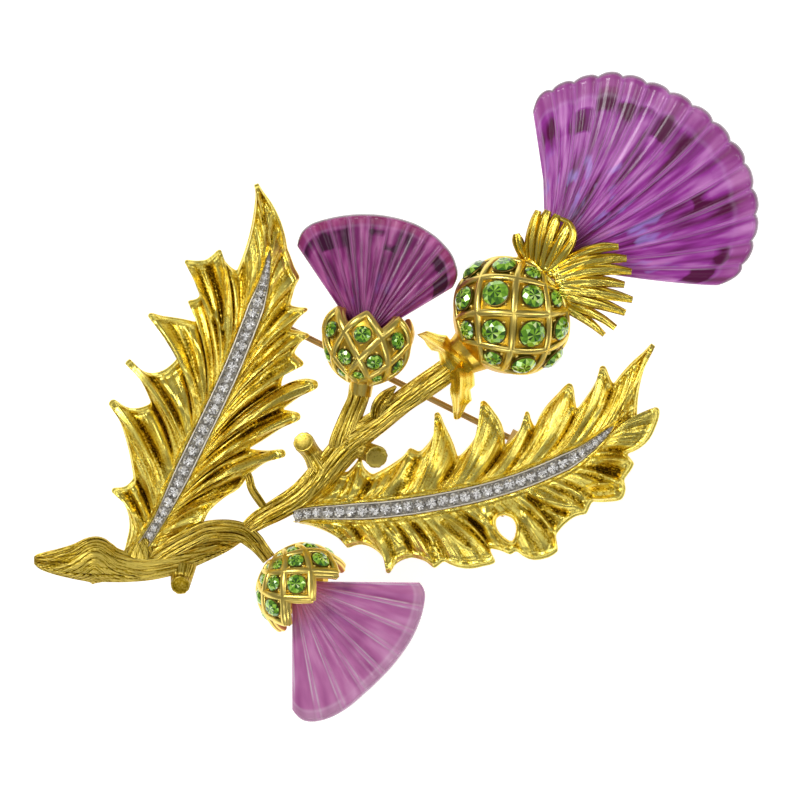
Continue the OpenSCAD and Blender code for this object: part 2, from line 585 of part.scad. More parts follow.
eye_r = 0.95;
eye_w = 1.1;
ear_t = 0.6;
hinge_top = 3.05;
module pin_hinge() {
    ear_y = eye_w / 2 + 0.1 + ear_t / 2;
    color(dark_gold) on_pin() {
        for (side = [-1, 1]) translate([0, side * ear_y, 0]) {
            across(ear_t, 1.1);
            translate([-1.1, -ear_t / 2, 0]) cube([2.2, ear_t, hinge_top - wire_z - 0.1]);
        }
        across(2 * ear_y + ear_t, rivet_r);
        translate([-1.6, -ear_y - ear_t / 2, hinge_top - wire_z - 0.3])
            cube([3.2, 2 * ear_y + ear_t, 0.3]);
    }
}
module pin() {
    tip_length = 3;
    color(dark_gold) on_pin() difference() {
        union() {
            across(eye_w, eye_r);
            rotate([0, 90, 0]) cylinder(h = pin_length - tip_length, r = wire_r, $fn = 48);
            translate([pin_length - tip_length, 0, 0]) rotate([0, 90, 0])
                cylinder(h = tip_length, r1 = wire_r, r2 = 0.1, $fn = 48);
        }
        across(eye_w + 1, rivet_r + rivet_gap);
    }
}
// The catch is a hook that is open towards the back, so that the pin swings out of it
module pin_catch() {
    inner = wire_r + 0.35;
    outer = inner + 0.5;
    along_pin = pin_length - 3.4;
    catch_top = 3.85;
    color(dark_gold) on_pin() translate([along_pin, 0, 0]) rotate([90, 0, 90]) {
        linear_extrude(height = 1.8, center = true) {
            difference() {
                circle(r = outer, $fn = 48);
                circle(r = inner, $fn = 48);
                translate([-inner, -outer]) square([2 * inner, outer]);
            }
            for (side = [-1, 1])
                translate([side * (inner + outer) / 2 - 0.25, -wire_z]) square([0.5, wire_z]);
            translate([-0.8, inner + 0.2]) square([1.6, catch_top - wire_z - inner - 0.2]);
        }
    }
}
stem();
left_leaf();
right_leaf();
left_strip();
right_strip();
left_strip_stones();
right_strip_stones();
large_cup();
middle_cup();
small_cup();
large_tuft();
middle_tuft();
small_tuft();
pin_hinge();
pin();
pin_catch();
for (i = [1:large_stone_n])
    set_stone(large_head, large_cells, i, large_stone_r);
for (i = [1:middle_stone_n])
    set_stone(middle_head, middle_cells, i, 1.25);
for (i = [1:small_stone_n])
    set_stone(small_head, small_cells, i, 1.3);
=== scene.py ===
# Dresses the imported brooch: two gold leaves with pave midribs, a twig stem and three
# thistle heads, each a stone-set gold cup with a fluted tuft of clear purple resin.
import math
import bpy
import numpy as np
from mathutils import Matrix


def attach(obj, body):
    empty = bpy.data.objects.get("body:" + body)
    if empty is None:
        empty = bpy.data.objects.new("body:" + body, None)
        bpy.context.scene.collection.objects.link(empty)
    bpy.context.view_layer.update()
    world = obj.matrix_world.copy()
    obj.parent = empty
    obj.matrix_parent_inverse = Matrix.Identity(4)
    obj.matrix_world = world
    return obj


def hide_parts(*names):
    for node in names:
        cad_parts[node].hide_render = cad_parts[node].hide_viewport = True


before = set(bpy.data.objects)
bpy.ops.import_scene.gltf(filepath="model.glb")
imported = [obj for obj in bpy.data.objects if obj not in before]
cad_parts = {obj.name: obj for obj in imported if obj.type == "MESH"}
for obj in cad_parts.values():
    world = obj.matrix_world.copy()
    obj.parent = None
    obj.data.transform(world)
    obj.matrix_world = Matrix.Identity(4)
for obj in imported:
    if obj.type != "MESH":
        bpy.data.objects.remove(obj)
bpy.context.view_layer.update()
print("frame loaded with", len(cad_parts), "nodes")

# Places are drawn in steps on the front view, x to the right and y down, and heights
# are in millimetres; the meshes are made in millimetres and stored in metres.
drawing = {"step": 94.8 / 729, "middle": (397.5, 397.0)}
step = drawing["step"]


def toMm(spots):
    spots = np.asarray(spots, float)
    return np.stack([(spots[..., 0] - drawing["middle"][0]) * step,
                     (drawing["middle"][1] - spots[..., 1]) * step], -1)


def spotAt(place):
    # A point in millimetres, from a place on the drawing and a height
    return np.array([*toMm(place[:2]), place[2]])


def mix(a, b, t):
    return a + (b - a) * t


def unit(v):
    return v / np.maximum(np.linalg.norm(v, axis=-1, keepdims=True), 1e-9)


def leftOf(v):
    return np.stack([-v[..., 1], v[..., 0]], -1)


def smoothStep(low, high, x):
    t = np.clip((x - low) / (high - low), 0, 1)
    return t * t * (3 - 2 * t)


def bell(x, middle, width):
    return np.exp(-((x - middle) / width) ** 2)


def turnsOf(count, shift=0):
    return 2 * math.pi * (np.arange(count) + shift) / count


def runOf(spots):
    # The running length up to each spot
    return np.concatenate([[0], np.cumsum(np.linalg.norm(np.diff(spots, axis=0), axis=1))])


def curve(points, s):
    # A smooth curve through the points, where s counts them
    points = np.asarray(points, float)
    s = np.asarray(s, float)
    last = len(points) - 1
    i = np.clip(np.floor(s).astype(int), 0, last - 1)
    t = (s - i)[..., None]
    a, b = points[np.maximum(i - 1, 0)], points[i]
    c, d = points[i + 1], points[np.minimum(i + 2, last)]
    return (2 * b + (c - a) * t + (2 * a - 5 * b + 4 * c - d) * t ** 2
            + (3 * b - 3 * c + d - a) * t ** 3) / 2


def waves(x, seed, lengths, depths):
    # Smooth irregular waves, the same each run
    rng = np.random.RandomState(seed)
    total = np.zeros_like(x, dtype=float)
    for length, depth in zip(lengths, depths):
        bend = rng.uniform(0, 6.28, 3)
        total = total + depth * np.sin(6.2832 * x / length + bend[0]
                                       + 1.3 * np.sin(x / length * 1.7 + bend[1]))
    return total


def link(thing):
    bpy.context.scene.collection.objects.link(thing)


class Shape:
    # Gathers the rings and facets of one piece
    def __init__(self):
        self.points, self.quads, self.tris, self.marks = [], [], [], []
        self.count = 0

    def put(self, points, mark):
        # mark holds three values for each point, which the materials read
        points = np.asarray(points, float).reshape(-1, 3)
        self.points.append(points)
        self.marks.append(np.broadcast_to(np.asarray(mark, float), (len(points), 3)))
        self.count += len(points)
        return self.count - len(points)

    def sheet(self, grid, mark=(0, 0, 0), loop=False, hole=None):
        # Rings of points. loop joins the last ring to the first, and otherwise both ends
        # are capped; no face is made inside the hole's outline
        rows, cols = grid.shape[:2]
        mark = np.broadcast_to(np.asarray(mark, float), (rows, cols, 3))
        first = self.put(grid, mark.reshape(-1, 3))
        i, j = np.meshgrid(np.arange(rows if loop else rows - 1), np.arange(cols), indexing="ij")
        a, b = i * cols + j, i * cols + (j + 1) % cols
        c, d = ((i + 1) % rows) * cols + (j + 1) % cols, ((i + 1) % rows) * cols + j
        quads = np.stack([a, d, c, b], -1).reshape(-1, 4)
        flat = grid.reshape(-1, 3) - grid.reshape(-1, 3).mean(0)
        p, q, r, s = (flat[quads[:, k]] for k in range(4))
        volume = (p * np.cross(q, r)).sum() + (p * np.cross(r, s)).sum()
        turnedIn = volume < 0
        if turnedIn:
            quads = quads[:, ::-1]
        if hole is not None:
            quads = quads[~inside(grid.reshape(-1, 3)[quads].mean(1)[:, :2], hole)]
        self.quads.append(quads + first)
        if not loop:
            for row, turned in ((0, False), (rows - 1, True)):
                centre = self.put(grid[row].mean(0)[None], mark[row].mean(0)[None])
                ring = first + row * cols + np.arange(cols)
                after = np.roll(ring, -1)
                middle = np.full(cols, centre)
                order = [middle, after, ring] if turned != turnedIn else [middle, ring, after]
                self.tris.append(np.stack(order, -1))

    def facets(self, corners, values):
        # Flat triangles that share no points, each with one value
        corners = np.asarray(corners, float)
        n = len(corners)
        mark = np.repeat(np.stack([values, np.zeros(n), np.zeros(n)], -1), 3, axis=0)
        first = self.put(corners.reshape(-1, 3), mark)
        self.tris.append(np.arange(3 * n).reshape(n, 3) + first)

    def build(self, name, material, slotName, nodes=(), body="brooch", sharp=40):
        mesh = bpy.data.meshes.new(name)
        points = np.concatenate(self.points) * 0.001
        quads = np.concatenate(self.quads) if self.quads else np.zeros((0, 4), int)
        tris = np.concatenate(self.tris) if self.tris else np.zeros((0, 3), int)
        corners = np.concatenate([quads.ravel(), tris.ravel()])
        starts = np.concatenate([np.arange(len(quads)) * 4,
                                 quads.size + np.arange(len(tris)) * 3])
        mesh.vertices.add(len(points))
        mesh.vertices.foreach_set("co", points.ravel())
        mesh.loops.add(len(corners))
        mesh.loops.foreach_set("vertex_index", corners.astype(np.int32))
        mesh.polygons.add(len(starts))
        mesh.polygons.foreach_set("loop_start", starts.astype(np.int32))
        mesh.update(calc_edges=True)
        mesh.validate()
        marks = mesh.attributes.new("mark", "FLOAT_VECTOR", "POINT")
        marks.data.foreach_set("vector", np.concatenate(self.marks).ravel())
        if sharp:
            mesh.shade_smooth()
            mesh.set_sharp_from_angle(angle=math.radians(sharp))
        else:
            mesh.shade_flat()
        piece = bpy.data.objects.new(name, mesh)
        link(piece)
        mesh.materials.append(material)
        if nodes:
            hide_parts(*nodes)
        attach(piece, body)
        print(name, len(quads) * 2 + len(tris), "triangles")


class Wire:
    # One output of a node, so that shader maths can be written as an expression
    def __init__(self, finish, socket):
        self.finish, self.socket = finish, socket

    def maths(self, operation, *values):
        return self.finish.node("ShaderNodeMath", {"operation": operation},
                                dict(enumerate(values)))

    def __add__(self, other):
        return self.maths("ADD", self, other)

    def __sub__(self, other):
        return self.maths("SUBTRACT", self, other)

    def __rsub__(self, other):
        return self.maths("SUBTRACT", other, self)

    def __mul__(self, other):
        return self.maths("MULTIPLY", self, other)

    __radd__ = __add__
    __rmul__ = __mul__

    def clamped(self, low=0.0, high=1.0):
        return self.maths("MINIMUM", self.maths("MAXIMUM", self, low), high)


class Finish:
    # One material and the nodes that make it
    def __init__(self, name):
        self.material = bpy.data.materials.new(name)
        self.material.use_nodes = True
        self.tree = self.material.node_tree
        self.tree.nodes.clear()

    def node(self, kind, settings=None, values=None, out=0):
        made = self.tree.nodes.new(kind)
        for key, value in (settings or {}).items():
            if key == "stops":
                ramp = made.color_ramp
                while len(ramp.elements) < len(value):
                    ramp.elements.new(1.0)
                for element, (place, colour) in zip(ramp.elements, value):
                    element.position = place
                    element.color = (*colour, 1)
            else:
                setattr(made, key, value)
        for key, value in (values or {}).items():
            if isinstance(value, Wire):
                self.tree.links.new(value.socket, made.inputs[key])
            else:
                made.inputs[key].default_value = value
        return Wire(self, made.outputs[out]) if len(made.outputs) else None

    def mark(self):
        # The three values that the meshes carry, together and then one by one
        spot = self.node("ShaderNodeAttribute", {"attribute_name": "mark"}, out=1)
        return [spot] + [self.node("ShaderNodeSeparateXYZ", None, {0: spot}, out=i)
                         for i in range(3)]

    def noise(self, scale, detail=3.0, where=None, rough=0.5):
        where = where or self.node("ShaderNodeTexCoord", out=3)
        return self.node("ShaderNodeTexNoise", None, {
            "Vector": where, "Scale": scale, "Detail": detail, "Roughness": rough})

    def stretched(self, vector, by):
        return self.node("ShaderNodeVectorMath", {"operation": "MULTIPLY"},
                         {0: vector, 1: by})

    def ramp(self, value, stops):
        return self.node("ShaderNodeValToRGB", {"stops": stops}, {0: value})

    def blend(self, share, a, b):
        a, b = ((*c, 1) if isinstance(c, tuple) else c for c in (a, b))
        return self.node("ShaderNodeMix", {"data_type": "RGBA"}, {0: share, 6: a, 7: b}, out=2)

    def bump(self, height, strength, distance):
        return self.node("ShaderNodeBump", None, {
            "Height": height, "Strength": strength, "Distance": distance})

    def surface(self, values):
        shader = self.node("ShaderNodeBsdfPrincipled", None, values)
        self.node("ShaderNodeOutputMaterial", None, {"Surface": shader})
        return self.material


# The gold of the castings. Each finish has its own grain: engraved lines on the
# leaves, bark on the stem, and smooth polish on the cups' bars and the rims.
golds = {
    "leaf": {"light": (1.0, 0.84, 0.18), "middle": (0.70, 0.455, 0.022),
             "deep": (0.10, 0.052, 0.001), "rough": 0.27, "roughVary": 0.14, "grain": 1.5,
             "lines": 0.55, "stretch": (3.4, 0.16, 0)},
    "bark": {"light": (0.83, 0.635, 0.12), "middle": (0.44, 0.285, 0.012),
             "deep": (0.07, 0.035, 0.001), "rough": 0.34, "roughVary": 0.1, "grain": 1.0,
             "lines": 1.8, "stretch": (3.6, 0.1, 0)},
    "crown": {"light": (1.0, 0.84, 0.17), "middle": (0.86, 0.56, 0.03),
              "deep": (0.12, 0.055, 0.002), "rough": 0.22, "roughVary": 0.08, "grain": 0.4,
              "lines": 0.45, "stretch": (3.0, 0.12, 0)},
    "polished": {"light": (0.97, 0.76, 0.19), "middle": (0.74, 0.46, 0.035),
                 "deep": (0.30, 0.14, 0.005), "rough": 0.28, "roughVary": 0.1, "grain": 0.3,
                 "lines": 0.1, "stretch": (3.4, 0.2, 0)}}


def goldFinish(name, look):
    # mark holds the place across the lines in mm, the place along them in mm, and
    #     the amount of painted shade, highest in recesses, grooves and between parts
    finish = Finish(name)
    spot, _, _, paintedShade = finish.mark()
    depth = look["lines"]
    lines = finish.noise(1.0, 2.0, finish.stretched(spot, look["stretch"]), 0.55)
    lines = (lines - 0.5) * 1.8 + 0.5
    fine = finish.noise(1.0, 1.0, finish.stretched(spot, (9.0, 0.5, 0.0)), 0.5)
    grain = finish.noise(3800.0, 2.0)
    cloud = finish.noise(230.0, 3.0)
    # Painted shade from the mark darkens the colour, together with random cloud, grain and the engraved
    # lines
    dark = (paintedShade * 0.9 + (cloud - 0.44) * 0.3
            + (grain - 0.5) * ((paintedShade * 1.6 + 0.9) * (look["grain"] * 0.9))
            + (0.5 - lines) * depth + (0.5 - fine) * (depth * 0.7)).clamped()
    colour = finish.ramp(dark, [(0.0, look["light"]), (0.38, look["middle"]), (0.92, look["deep"])])
    rough = (look["rough"] + (cloud - 0.4) * look["roughVary"] + dark * 0.18).clamped(0.05, 0.7)
    height = lines * (depth * 0.4) + fine * (depth * 0.2) + grain * (look["grain"] * 0.08)
    normal = finish.bump(height, 1.0, 0.00016)
    return finish.surface({"Base Color": colour, "Metallic": 1.0, "Roughness": rough,
                           "Coat Weight": 0.03, "Coat Roughness": 0.16, "Normal": normal})


leafGold, barkGold, crownGold, polishedGold = (
    goldFinish(name + "Gold", look) for name, look in golds.items())


def plainMetal(name, light, dark, rough, scale):
    # mark's third value is the amount of painted shade, highest in recesses
    finish = Finish(name)
    paintedShade = finish.mark()[3]
    cloud = finish.noise(scale, 3.0)
    scuffs = finish.noise(6000.0, 2.0)
    colour = finish.blend((cloud * 0.5 + paintedShade).clamped(), light, dark)
    return finish.surface({
        "Base Color": colour, "Metallic": 1.0, "Roughness": cloud * 0.2 + rough,
        "Normal": finish.bump(scuffs, 0.25, 0.00004)})


silver = plainMetal("silver", (0.86, 0.80, 0.68), (0.20, 0.18, 0.14), 0.34, 900.0)
wireGold = plainMetal("wireGold", (0.52, 0.34, 0.12), (0.2, 0.11, 0.035), 0.2, 260.0)
seatShadeGold = plainMetal("seatShadeGold", (0.75, 0.5, 0.1), (0.05, 0.04, 0.01), 0.3, 900.0)


def stoneFinish(name, stops, metallic, paintedGlow):
    # Foil-backed glass: each facet throws back its own share of light, painted into its colour as a bright
    # or dark reflection, with a painted glow from the emission
    finish = Finish(name)
    facet = finish.mark()[1]
    cloud = finish.noise(1500.0, 1.0)
    colour = finish.ramp((facet + (cloud - 0.5) * 0.1).clamped(), stops)
    return finish.surface({
        "Base Color": colour, "Emission Color": colour, "Emission Strength": paintedGlow,
        "Metallic": metallic, "Roughness": cloud * 0.05 + 0.03,
        "Coat Weight": 1.0, "Coat Roughness": 0.02, "Coat IOR": 1.7})


greenStone = stoneFinish("greenStone", [
    (0.0, (0.008, 0.035, 0.001)), (0.25, (0.035, 0.13, 0.004)), (0.5, (0.13, 0.34, 0.008)),
    (0.75, (0.30, 0.60, 0.03)), (0.92, (0.56, 0.86, 0.14)), (1.0, (0.88, 1.0, 0.5))], 0.2, 0.18)
clearStone = stoneFinish("clearStone", [
    (0.0, (0.02, 0.018, 0.015)), (0.22, (0.10, 0.09, 0.08)), (0.5, (0.36, 0.34, 0.31)),
    (0.78, (0.76, 0.74, 0.70)), (1.0, (1.0, 1.0, 1.0))], 0.1, 0.16)


# The clear resin of the tufts. Its colour changes from rib to rib, as each rib bends
# # its own part of the light, and that light is painted: reflections as streaks along a rib,
# # a band of painted glints and dark patches near the rim, and a painted highlight on the paler raised bar
# between two ribs.
resins = {
    "violet": {"pale": (0.88, 0.34, 0.84), "body": (0.46, 0.052, 0.455),
               "deep": (0.13, 0.004, 0.07), "bar": (0.66, 0.18, 0.66),
               "rimTint": (0.50, 0.13, 0.36), "blueGlint": (0.50, 0.38, 1.0),
               "apex": (0.14, 0.01, 0.08), "glintColour": (0.95, 0.62, 0.92),
               "arc": (0.80, 0.07), "arcShift": 0.5, "arcDepth": 1.0, "rimFrom": 0.885,
               "through": 0.1, "rough": 0.16, "streaks": 1.15, "blueness": 1.0, "glint": 0.5},
    "plum": {"pale": (0.74, 0.20, 0.54), "body": (0.32, 0.035, 0.22), "deep": (0.07, 0.006, 0.045),
             "bar": (0.56, 0.16, 0.44), "rimTint": (0.52, 0.07, 0.20), "blueGlint": (0.30, 0.12, 0.50),
             "apex": (0.10, 0.008, 0.06), "glintColour": (0.92, 0.56, 0.80),
             "arc": (0.82, 0.08), "arcShift": 0.2, "arcDepth": 1.2, "rimFrom": 0.91,
             "through": 0.1, "rough": 0.16, "streaks": 0.9, "blueness": 0.4, "glint": 0.4},
    "mauve": {"pale": (0.90, 0.42, 0.74), "body": (0.68, 0.22, 0.52), "deep": (0.46, 0.10, 0.34),
              "bar": (0.84, 0.36, 0.68), "rimTint": (0.66, 0.42, 0.56), "blueGlint": (0.56, 0.22, 0.66),
              "apex": (0.84, 0.24, 0.34), "glintColour": (1.0, 0.88, 0.97),
              "arc": (0.55, 0.2), "arcShift": 0.4, "arcDepth": 0.3, "rimFrom": 0.925,
              "through": 0.16, "rough": 0.2, "streaks": 0.8, "blueness": 0.15, "glint": 0.85}}


def resinFinish(name, look):
    # mark holds the count of ribs across, the share from the apex to the rim, and how
    # much the spot lies on a bar between two ribs
    finish = Finish(name)
    _, ribs, outwards, bar = finish.mark()
    rib = ribs.maths("FLOOR", ribs)

    def patch(seed, along, across=0.0):
        spot = finish.node("ShaderNodeCombineXYZ", None, {
            0: rib * 3.7 + seed + ribs * across, 1: outwards * along, 2: seed})
        return finish.noise(1.0, 2.0, spot, 0.6)

    # Painted reflections: streaks along each rib and a band of dark blocks near the rim
    arcAt, arcWide = look["arc"]
    centre = arcAt - (patch(31.0, 0.0) - 0.5) * look["arcShift"]
    apart = outwards - centre
    ring = ((1 - apart.maths("ABSOLUTE", apart) * (1 / arcWide)) * 4).clamped()
    streak = patch(4.0, 2.2, 1.2)
    blocks = ((patch(9.0, 1.5) - 0.46) * 9).clamped(0, 0.6)
    tone = (0.52 + (streak - 0.5) * (2.6 * look["streaks"]) - ring * look["arcDepth"] * blocks
            ).clamped()
    colour = finish.ramp(tone, [(0.0, look["deep"]), (0.5, look["body"]), (1.0, look["pale"])])
    # Painted blue glints low on the tuft
    low = (1 - (outwards - 0.42) * (outwards - 0.42) * 14).clamped()
    blueGlint = ((patch(15.0, 5.0, 0.8) - 0.55) * 7 * look["blueness"]).clamped(0, 0.6) * low
    colour = finish.blend(blueGlint, colour, look["blueGlint"])
    start = ((0.34 - outwards) * 5).clamped(0, 0.8)
    colour = finish.blend(start, colour, look["apex"])
    own = (patch(43.0, 0.0) * 2.4 - 0.6).clamped(0.15, 1)
    edge = ((outwards - look["rimFrom"]) * 30).clamped(0, 0.75) * own
    colour = finish.blend(edge, colour, look["rimTint"])
    # Painted highlight on the raised bar between two ribs
    colour = finish.blend((bar * 0.5).clamped(), colour, look["bar"])
    # Painted glints: fine bright lines on both sides of a bar and along the inner border of the rim
    window = ((outwards - 0.2) * 5).clamped() * ((look["rimFrom"] - outwards) * 14).clamped(0.35, 1)
    lines = bar * (1 - bar) * 4 * window * ((patch(21.0, 2.5) - 0.3) * 3).clamped(0.25, 1)
    border = (outwards - look["rimFrom"]) * 80
    border = border * border * -1
    glint = (lines + border.maths("EXPONENT", border) * own * 0.5).clamped() * look["glint"]
    colour = finish.blend(glint, colour, look["glintColour"])
    outline = ((outwards - 0.978) * 70).clamped(0, 0.85)
    colour = finish.blend(outline, colour, look["deep"])
    waviness = finish.noise(900.0, 2.0)
    return finish.surface({
        "Base Color": colour, "Roughness": waviness * 0.08 + look["rough"], "IOR": 1.49,
        "Specular IOR Level": 0.32,
        "Transmission Weight": look["through"], "Coat Weight": 0.15, "Coat Roughness": 0.08,
        "Normal": finish.bump(waviness, 0.3, 0.0001)})


resinOf = {name: resinFinish(name + "Resin", look) for name, look in resins.items()}
print("finishes made")

# The leaves. Each row of a side is one lobe of the edge: the tip's x, y and height,
# how far the edge bows to the left before and after the tip, the notch after it, and
# the place on the midrib where the valley to that notch starts. Rims, lines and grooves
# are a place, a width and a height in millimetres.
leaves = {
    "thickness": 1.2, "fold": 1.5, "ribHeight": 6.1, "notchHeight": 4.3,
    "stripWidth": 2.2, "seam": 0.12, "vein": 0.06,
    "columnSpacing": 1.15, "cutWidth": 1.45, "cutDepth": 0.7,
    "ripples": ((3.1, 1.7, 0.9, 0.55), (0.05, 0.04, 0.02, 0.01)), "roundEdge": 0.3,
    "rim": (0.26, 0.24, 0.26), "rimGroove": (0.9, 0.3, 0.14),
    "line": (0.32, 0.17, 0.16), "lineGroove": (0.75, 0.2, 0.1),
    "levelPasses": 60, "shadeGain": 2.7, "shadeAdded": 0.12, "backShade": 0.4,
    "lip": {"points": 64, "sides": 14, "wide": 0.36, "tall": 0.8, "passes": 12}}
leaves["left"] = {
    "midrib": [(256.5, 184.5), (266, 213), (270.5, 242), (266, 275), (257, 305), (245, 337),
               (232, 369), (217, 402), (202, 433), (187, 464), (172, 495), (158, 522),
               (142, 547)],
    "stripFrom": 2.1, "stripTo": 11.9, "endTaper": 0.65,
    "hole": None,
    "outerDepths": [0.5, 0.6, 0.6, 0.7, 0.9, 1.1, 1.2, 1.1],
    "innerDepths": [0.3, 0.3, 0.5, 0.6, 0.8, 1.1, 1.1, 1.1, 0.7, 0.7],
    "outerTips": [2.0, 2.2, 2.0, 1.8, 2.6, 3.4, 4.0, 2.6],
    "innerTips": [2.0, 2.2, 1.8, 2.0, 3.0, 4.4, 4.0, 4.0, 2.8, 2.0],
    "outerFolds": "drape", "innerFolds": "finger",
    "outer": [(256.5, 184.5, 5.0, 0, 4.5, 237, 273, 5.1), (220, 252, 5.4, 2, 0, 206, 262, 6.1),
              (186.5, 262.5, 5.0, 0, 0, 200.5, 298, 6.7), (189.5, 303, 4.4, 1, 0, 197, 324, 7.2),
              (150, 316, 4.8, -1.5, 0, 179, 359, 8.1), (127, 362, 4.6, 13.5, 2, 152, 405, 9.3),
              (112, 402, 4.6, 5.5, 3, 134.5, 480, 11.1), (114.5, 490, 4.4, 2.8, 12, 122, 556, 12)],
    "inner": [(256.5, 184.5, 5.0, 0, 6, 286, 250, 3.6), (297.5, 279, 5.0, 0.5, 0, 288.5, 306.5, 6.1),
              (305.5, 310, 4.4, 0, 0, 288, 330.5, 6.8), (307, 336, 4.4, 1.3, -1.5, 292, 355, 7.6),
              (301, 363.5, 4.6, 0, -5.5, 279, 388, 8.5), (315.5, 384, 5.0, 5, 0, 280.5, 410.5, 9.1),
              (298, 416, 4.8, 0, 1, 247, 449.5, 10.1), (283.5, 453, 4.6, 0, -2, 243, 479, 10.8),
              (236, 488, 4.4, 0, 0, 229, 494, 11.1), (201, 519, 4.4, -2, -2, 166, 553, 11.8)]}
leaves["right"] = {
    "midrib": [(653.5, 345), (636, 384), (622, 415), (605, 434), (578, 455), (548, 470),
               (516, 482.5), (482, 492.5), (448, 500), (413, 506), (378, 510), (343, 512),
               (308, 513.5), (288, 518)],
    "stripFrom": 2.4, "stripTo": 12.6, "endTaper": 0.7,
    "hole": [(506, 513), (513.5, 516.5), (518, 524), (518, 534), (514.5, 542), (509, 543),
             (502, 538.5), (496.5, 532.5), (493.5, 525), (494.5, 517.5), (499.5, 513.5)],
    "outerDepths": [0.4, 0.6, 0.6, 0.6, 0.8, 0.8, 0.7, 0.6, 0.6],
    "innerDepths": [0.4, 0.5, 0.5, 0.7, 0.8, 0.7, 0.6, 0.9, 0.8, 0.8, 0.6],
    "outerTips": [2.4, 3.0, 3.2, 2.0, 2.8, 2.8, 2.0, 1.6, 1.6],
    "innerTips": [2.4, 3.4, 2.6, 2.6, 2.2, 3.0, 2.2, 2.2, 2.2, 2.4, 2.0],
    "outerFolds": "blade", "innerFolds": "drape",
    "outer": [(653.5, 345, 5.0, 0, -2.5, 613, 386, 3.8), (603, 368, 4.8, 0, 1.5, 576, 411, 5.1),
              (570, 386, 4.8, -1, -5, 534, 429, 6.3), (527, 413.5, 4.4, 0, 3, 504, 447, 7.2),
              (483, 403, 4.8, -7, 7, 457, 459, 8.4), (437, 414.5, 4.6, -2.5, 5, 419, 454, 9.4),
              (411, 451, 4.4, 0, 1.5, 372, 476.5, 10.6), (360, 460, 4.4, 2, 0, 346, 475, 11.3),
              (344, 474.5, 4.2, 0, 0, 303, 508, 12.1)],
    "inner": [(653.5, 345, 5.0, 0, -4, 635, 417, 2.5), (656, 409, 4.8, -0.5, 10.5, 624.5, 453.5, 3.6),
              (631, 462, 5.2, 0, 1, 622, 479, 4.2), (620, 497, 4.8, 3, 2.5, 591, 500, 5),
              (585, 509.5, 4.4, 0, -3, 555, 533, 6), (556, 549, 4.4, 0, 10, 515, 548, 7),
              (511, 551, 4.2, 0, 0, 489, 546.5, 7.8), (493.5, 560, 4.4, 0, 7.5, 443, 559, 9),
              (435, 565, 4.2, 0, -1, 412, 555.5, 9.7), (388, 571, 4.4, -3, -6, 361, 542.5, 11),
              (348, 545, 4.2, 0, -4.5, 293, 522, 12.6)]}

# How the gold rises along a lobe: shares of the way from the notch before it to its
# tip and the heights there, then the same from its tip to the notch after it
folds = {
    "drape": ([0, 0.05, 0.22, 0.42, 0.62, 0.8, 1], [0.1, 0.75, 1, 0.85, 0.15, 0.6, 0.9],
              [0, 0.3, 0.6, 0.85, 1], [0.9, 0.75, 0.8, 0.35, 0.0]),
    "finger": ([0, 0.08, 0.3, 0.55, 0.78, 1], [0.05, 0.55, 0.7, 0.3, 0.75, 1],
               [0, 0.25, 0.5, 0.75, 0.92, 1], [1, 0.55, 0.35, 0.75, 0.6, 0.0]),
    "blade": ([0, 0.12, 0.4, 0.7, 1], [0.0, 0.5, 1.0, 0.9, 0.9],
              [0, 0.3, 0.6, 0.85, 1], [0.9, 0.3, 0.45, 0.25, 0.0])}

# Folds of each leaf, listed one by one: the points of the stroke, its half width in steps, and
# how far it lifts (or sinks) the gold in millimetres
leaves["left"]["strokes"] = [
    ([(256, 187), (254, 215), (251, 240), (244, 264)], 4.0, 0.7),
    ([(261, 194), (263.5, 210), (264, 224)], 2.2, -0.9),
    ([(274, 208), (279, 224), (271, 246)], 6, -0.5),
    ([(188, 266), (202, 295), (212, 313), (223, 329)], 2.2, 0.55),
    ([(222, 256), (225, 277), (225.5, 303), (223, 329)], 2.0, 0.65),
    ([(204, 268), (213, 290), (219, 312)], 7, -0.6),
    ([(230, 282), (234, 304), (236, 322)], 3, -0.35),
    ([(184, 330), (192, 352), (200, 382)], 2.6, -0.7),
    ([(193, 336), (205, 362), (208, 392)], 3.5, 0.4),
    ([(160, 326), (176, 348), (190, 378)], 5, 0.4),
    ([(146, 382), (161, 411), (179, 446)], 5, -0.7),
    ([(159, 378), (180, 406), (196, 430)], 6, 0.5),
    ([(184, 376), (198, 401)], 3.5, -0.5),
    ([(138, 423), (147, 450), (159, 486)], 5, -0.7),
    ([(153, 413), (163, 440), (172, 466)], 6, 0.5),
    ([(125, 426), (133, 468), (142, 510)], 2.5, 0.4),
    ([(131, 486), (138, 502), (146, 520)], 4, 0.5),
    ([(141, 490), (151, 513)], 2.5, -0.5),
    ([(280, 386), (262, 394), (240, 411), (212, 450), (192, 482)], 2.4, -0.8),
    ([(281, 411), (262, 420), (240, 441), (222, 462)], 2.2, -0.7),
    ([(250, 450), (231, 461), (203, 486), (178, 517)], 2.5, -0.8),
    ([(243, 477), (222, 489), (196, 508)], 2.2, -0.5),
    ([(314, 383), (290, 392), (264, 408), (238, 436)], 3.4, 0.5),
    ([(296, 417), (270, 428), (240, 452)], 3.4, 0.5),
    ([(281, 454), (255, 463), (225, 481), (200, 506)], 3.6, 0.5),
    ([(289, 329), (272, 342), (254, 368)], 2.4, -0.6),
    ([(289, 305), (276, 318), (264, 340)], 2.4, -0.5),
    ([(299, 335), (280, 352), (258, 384)], 3.0, 0.45)]
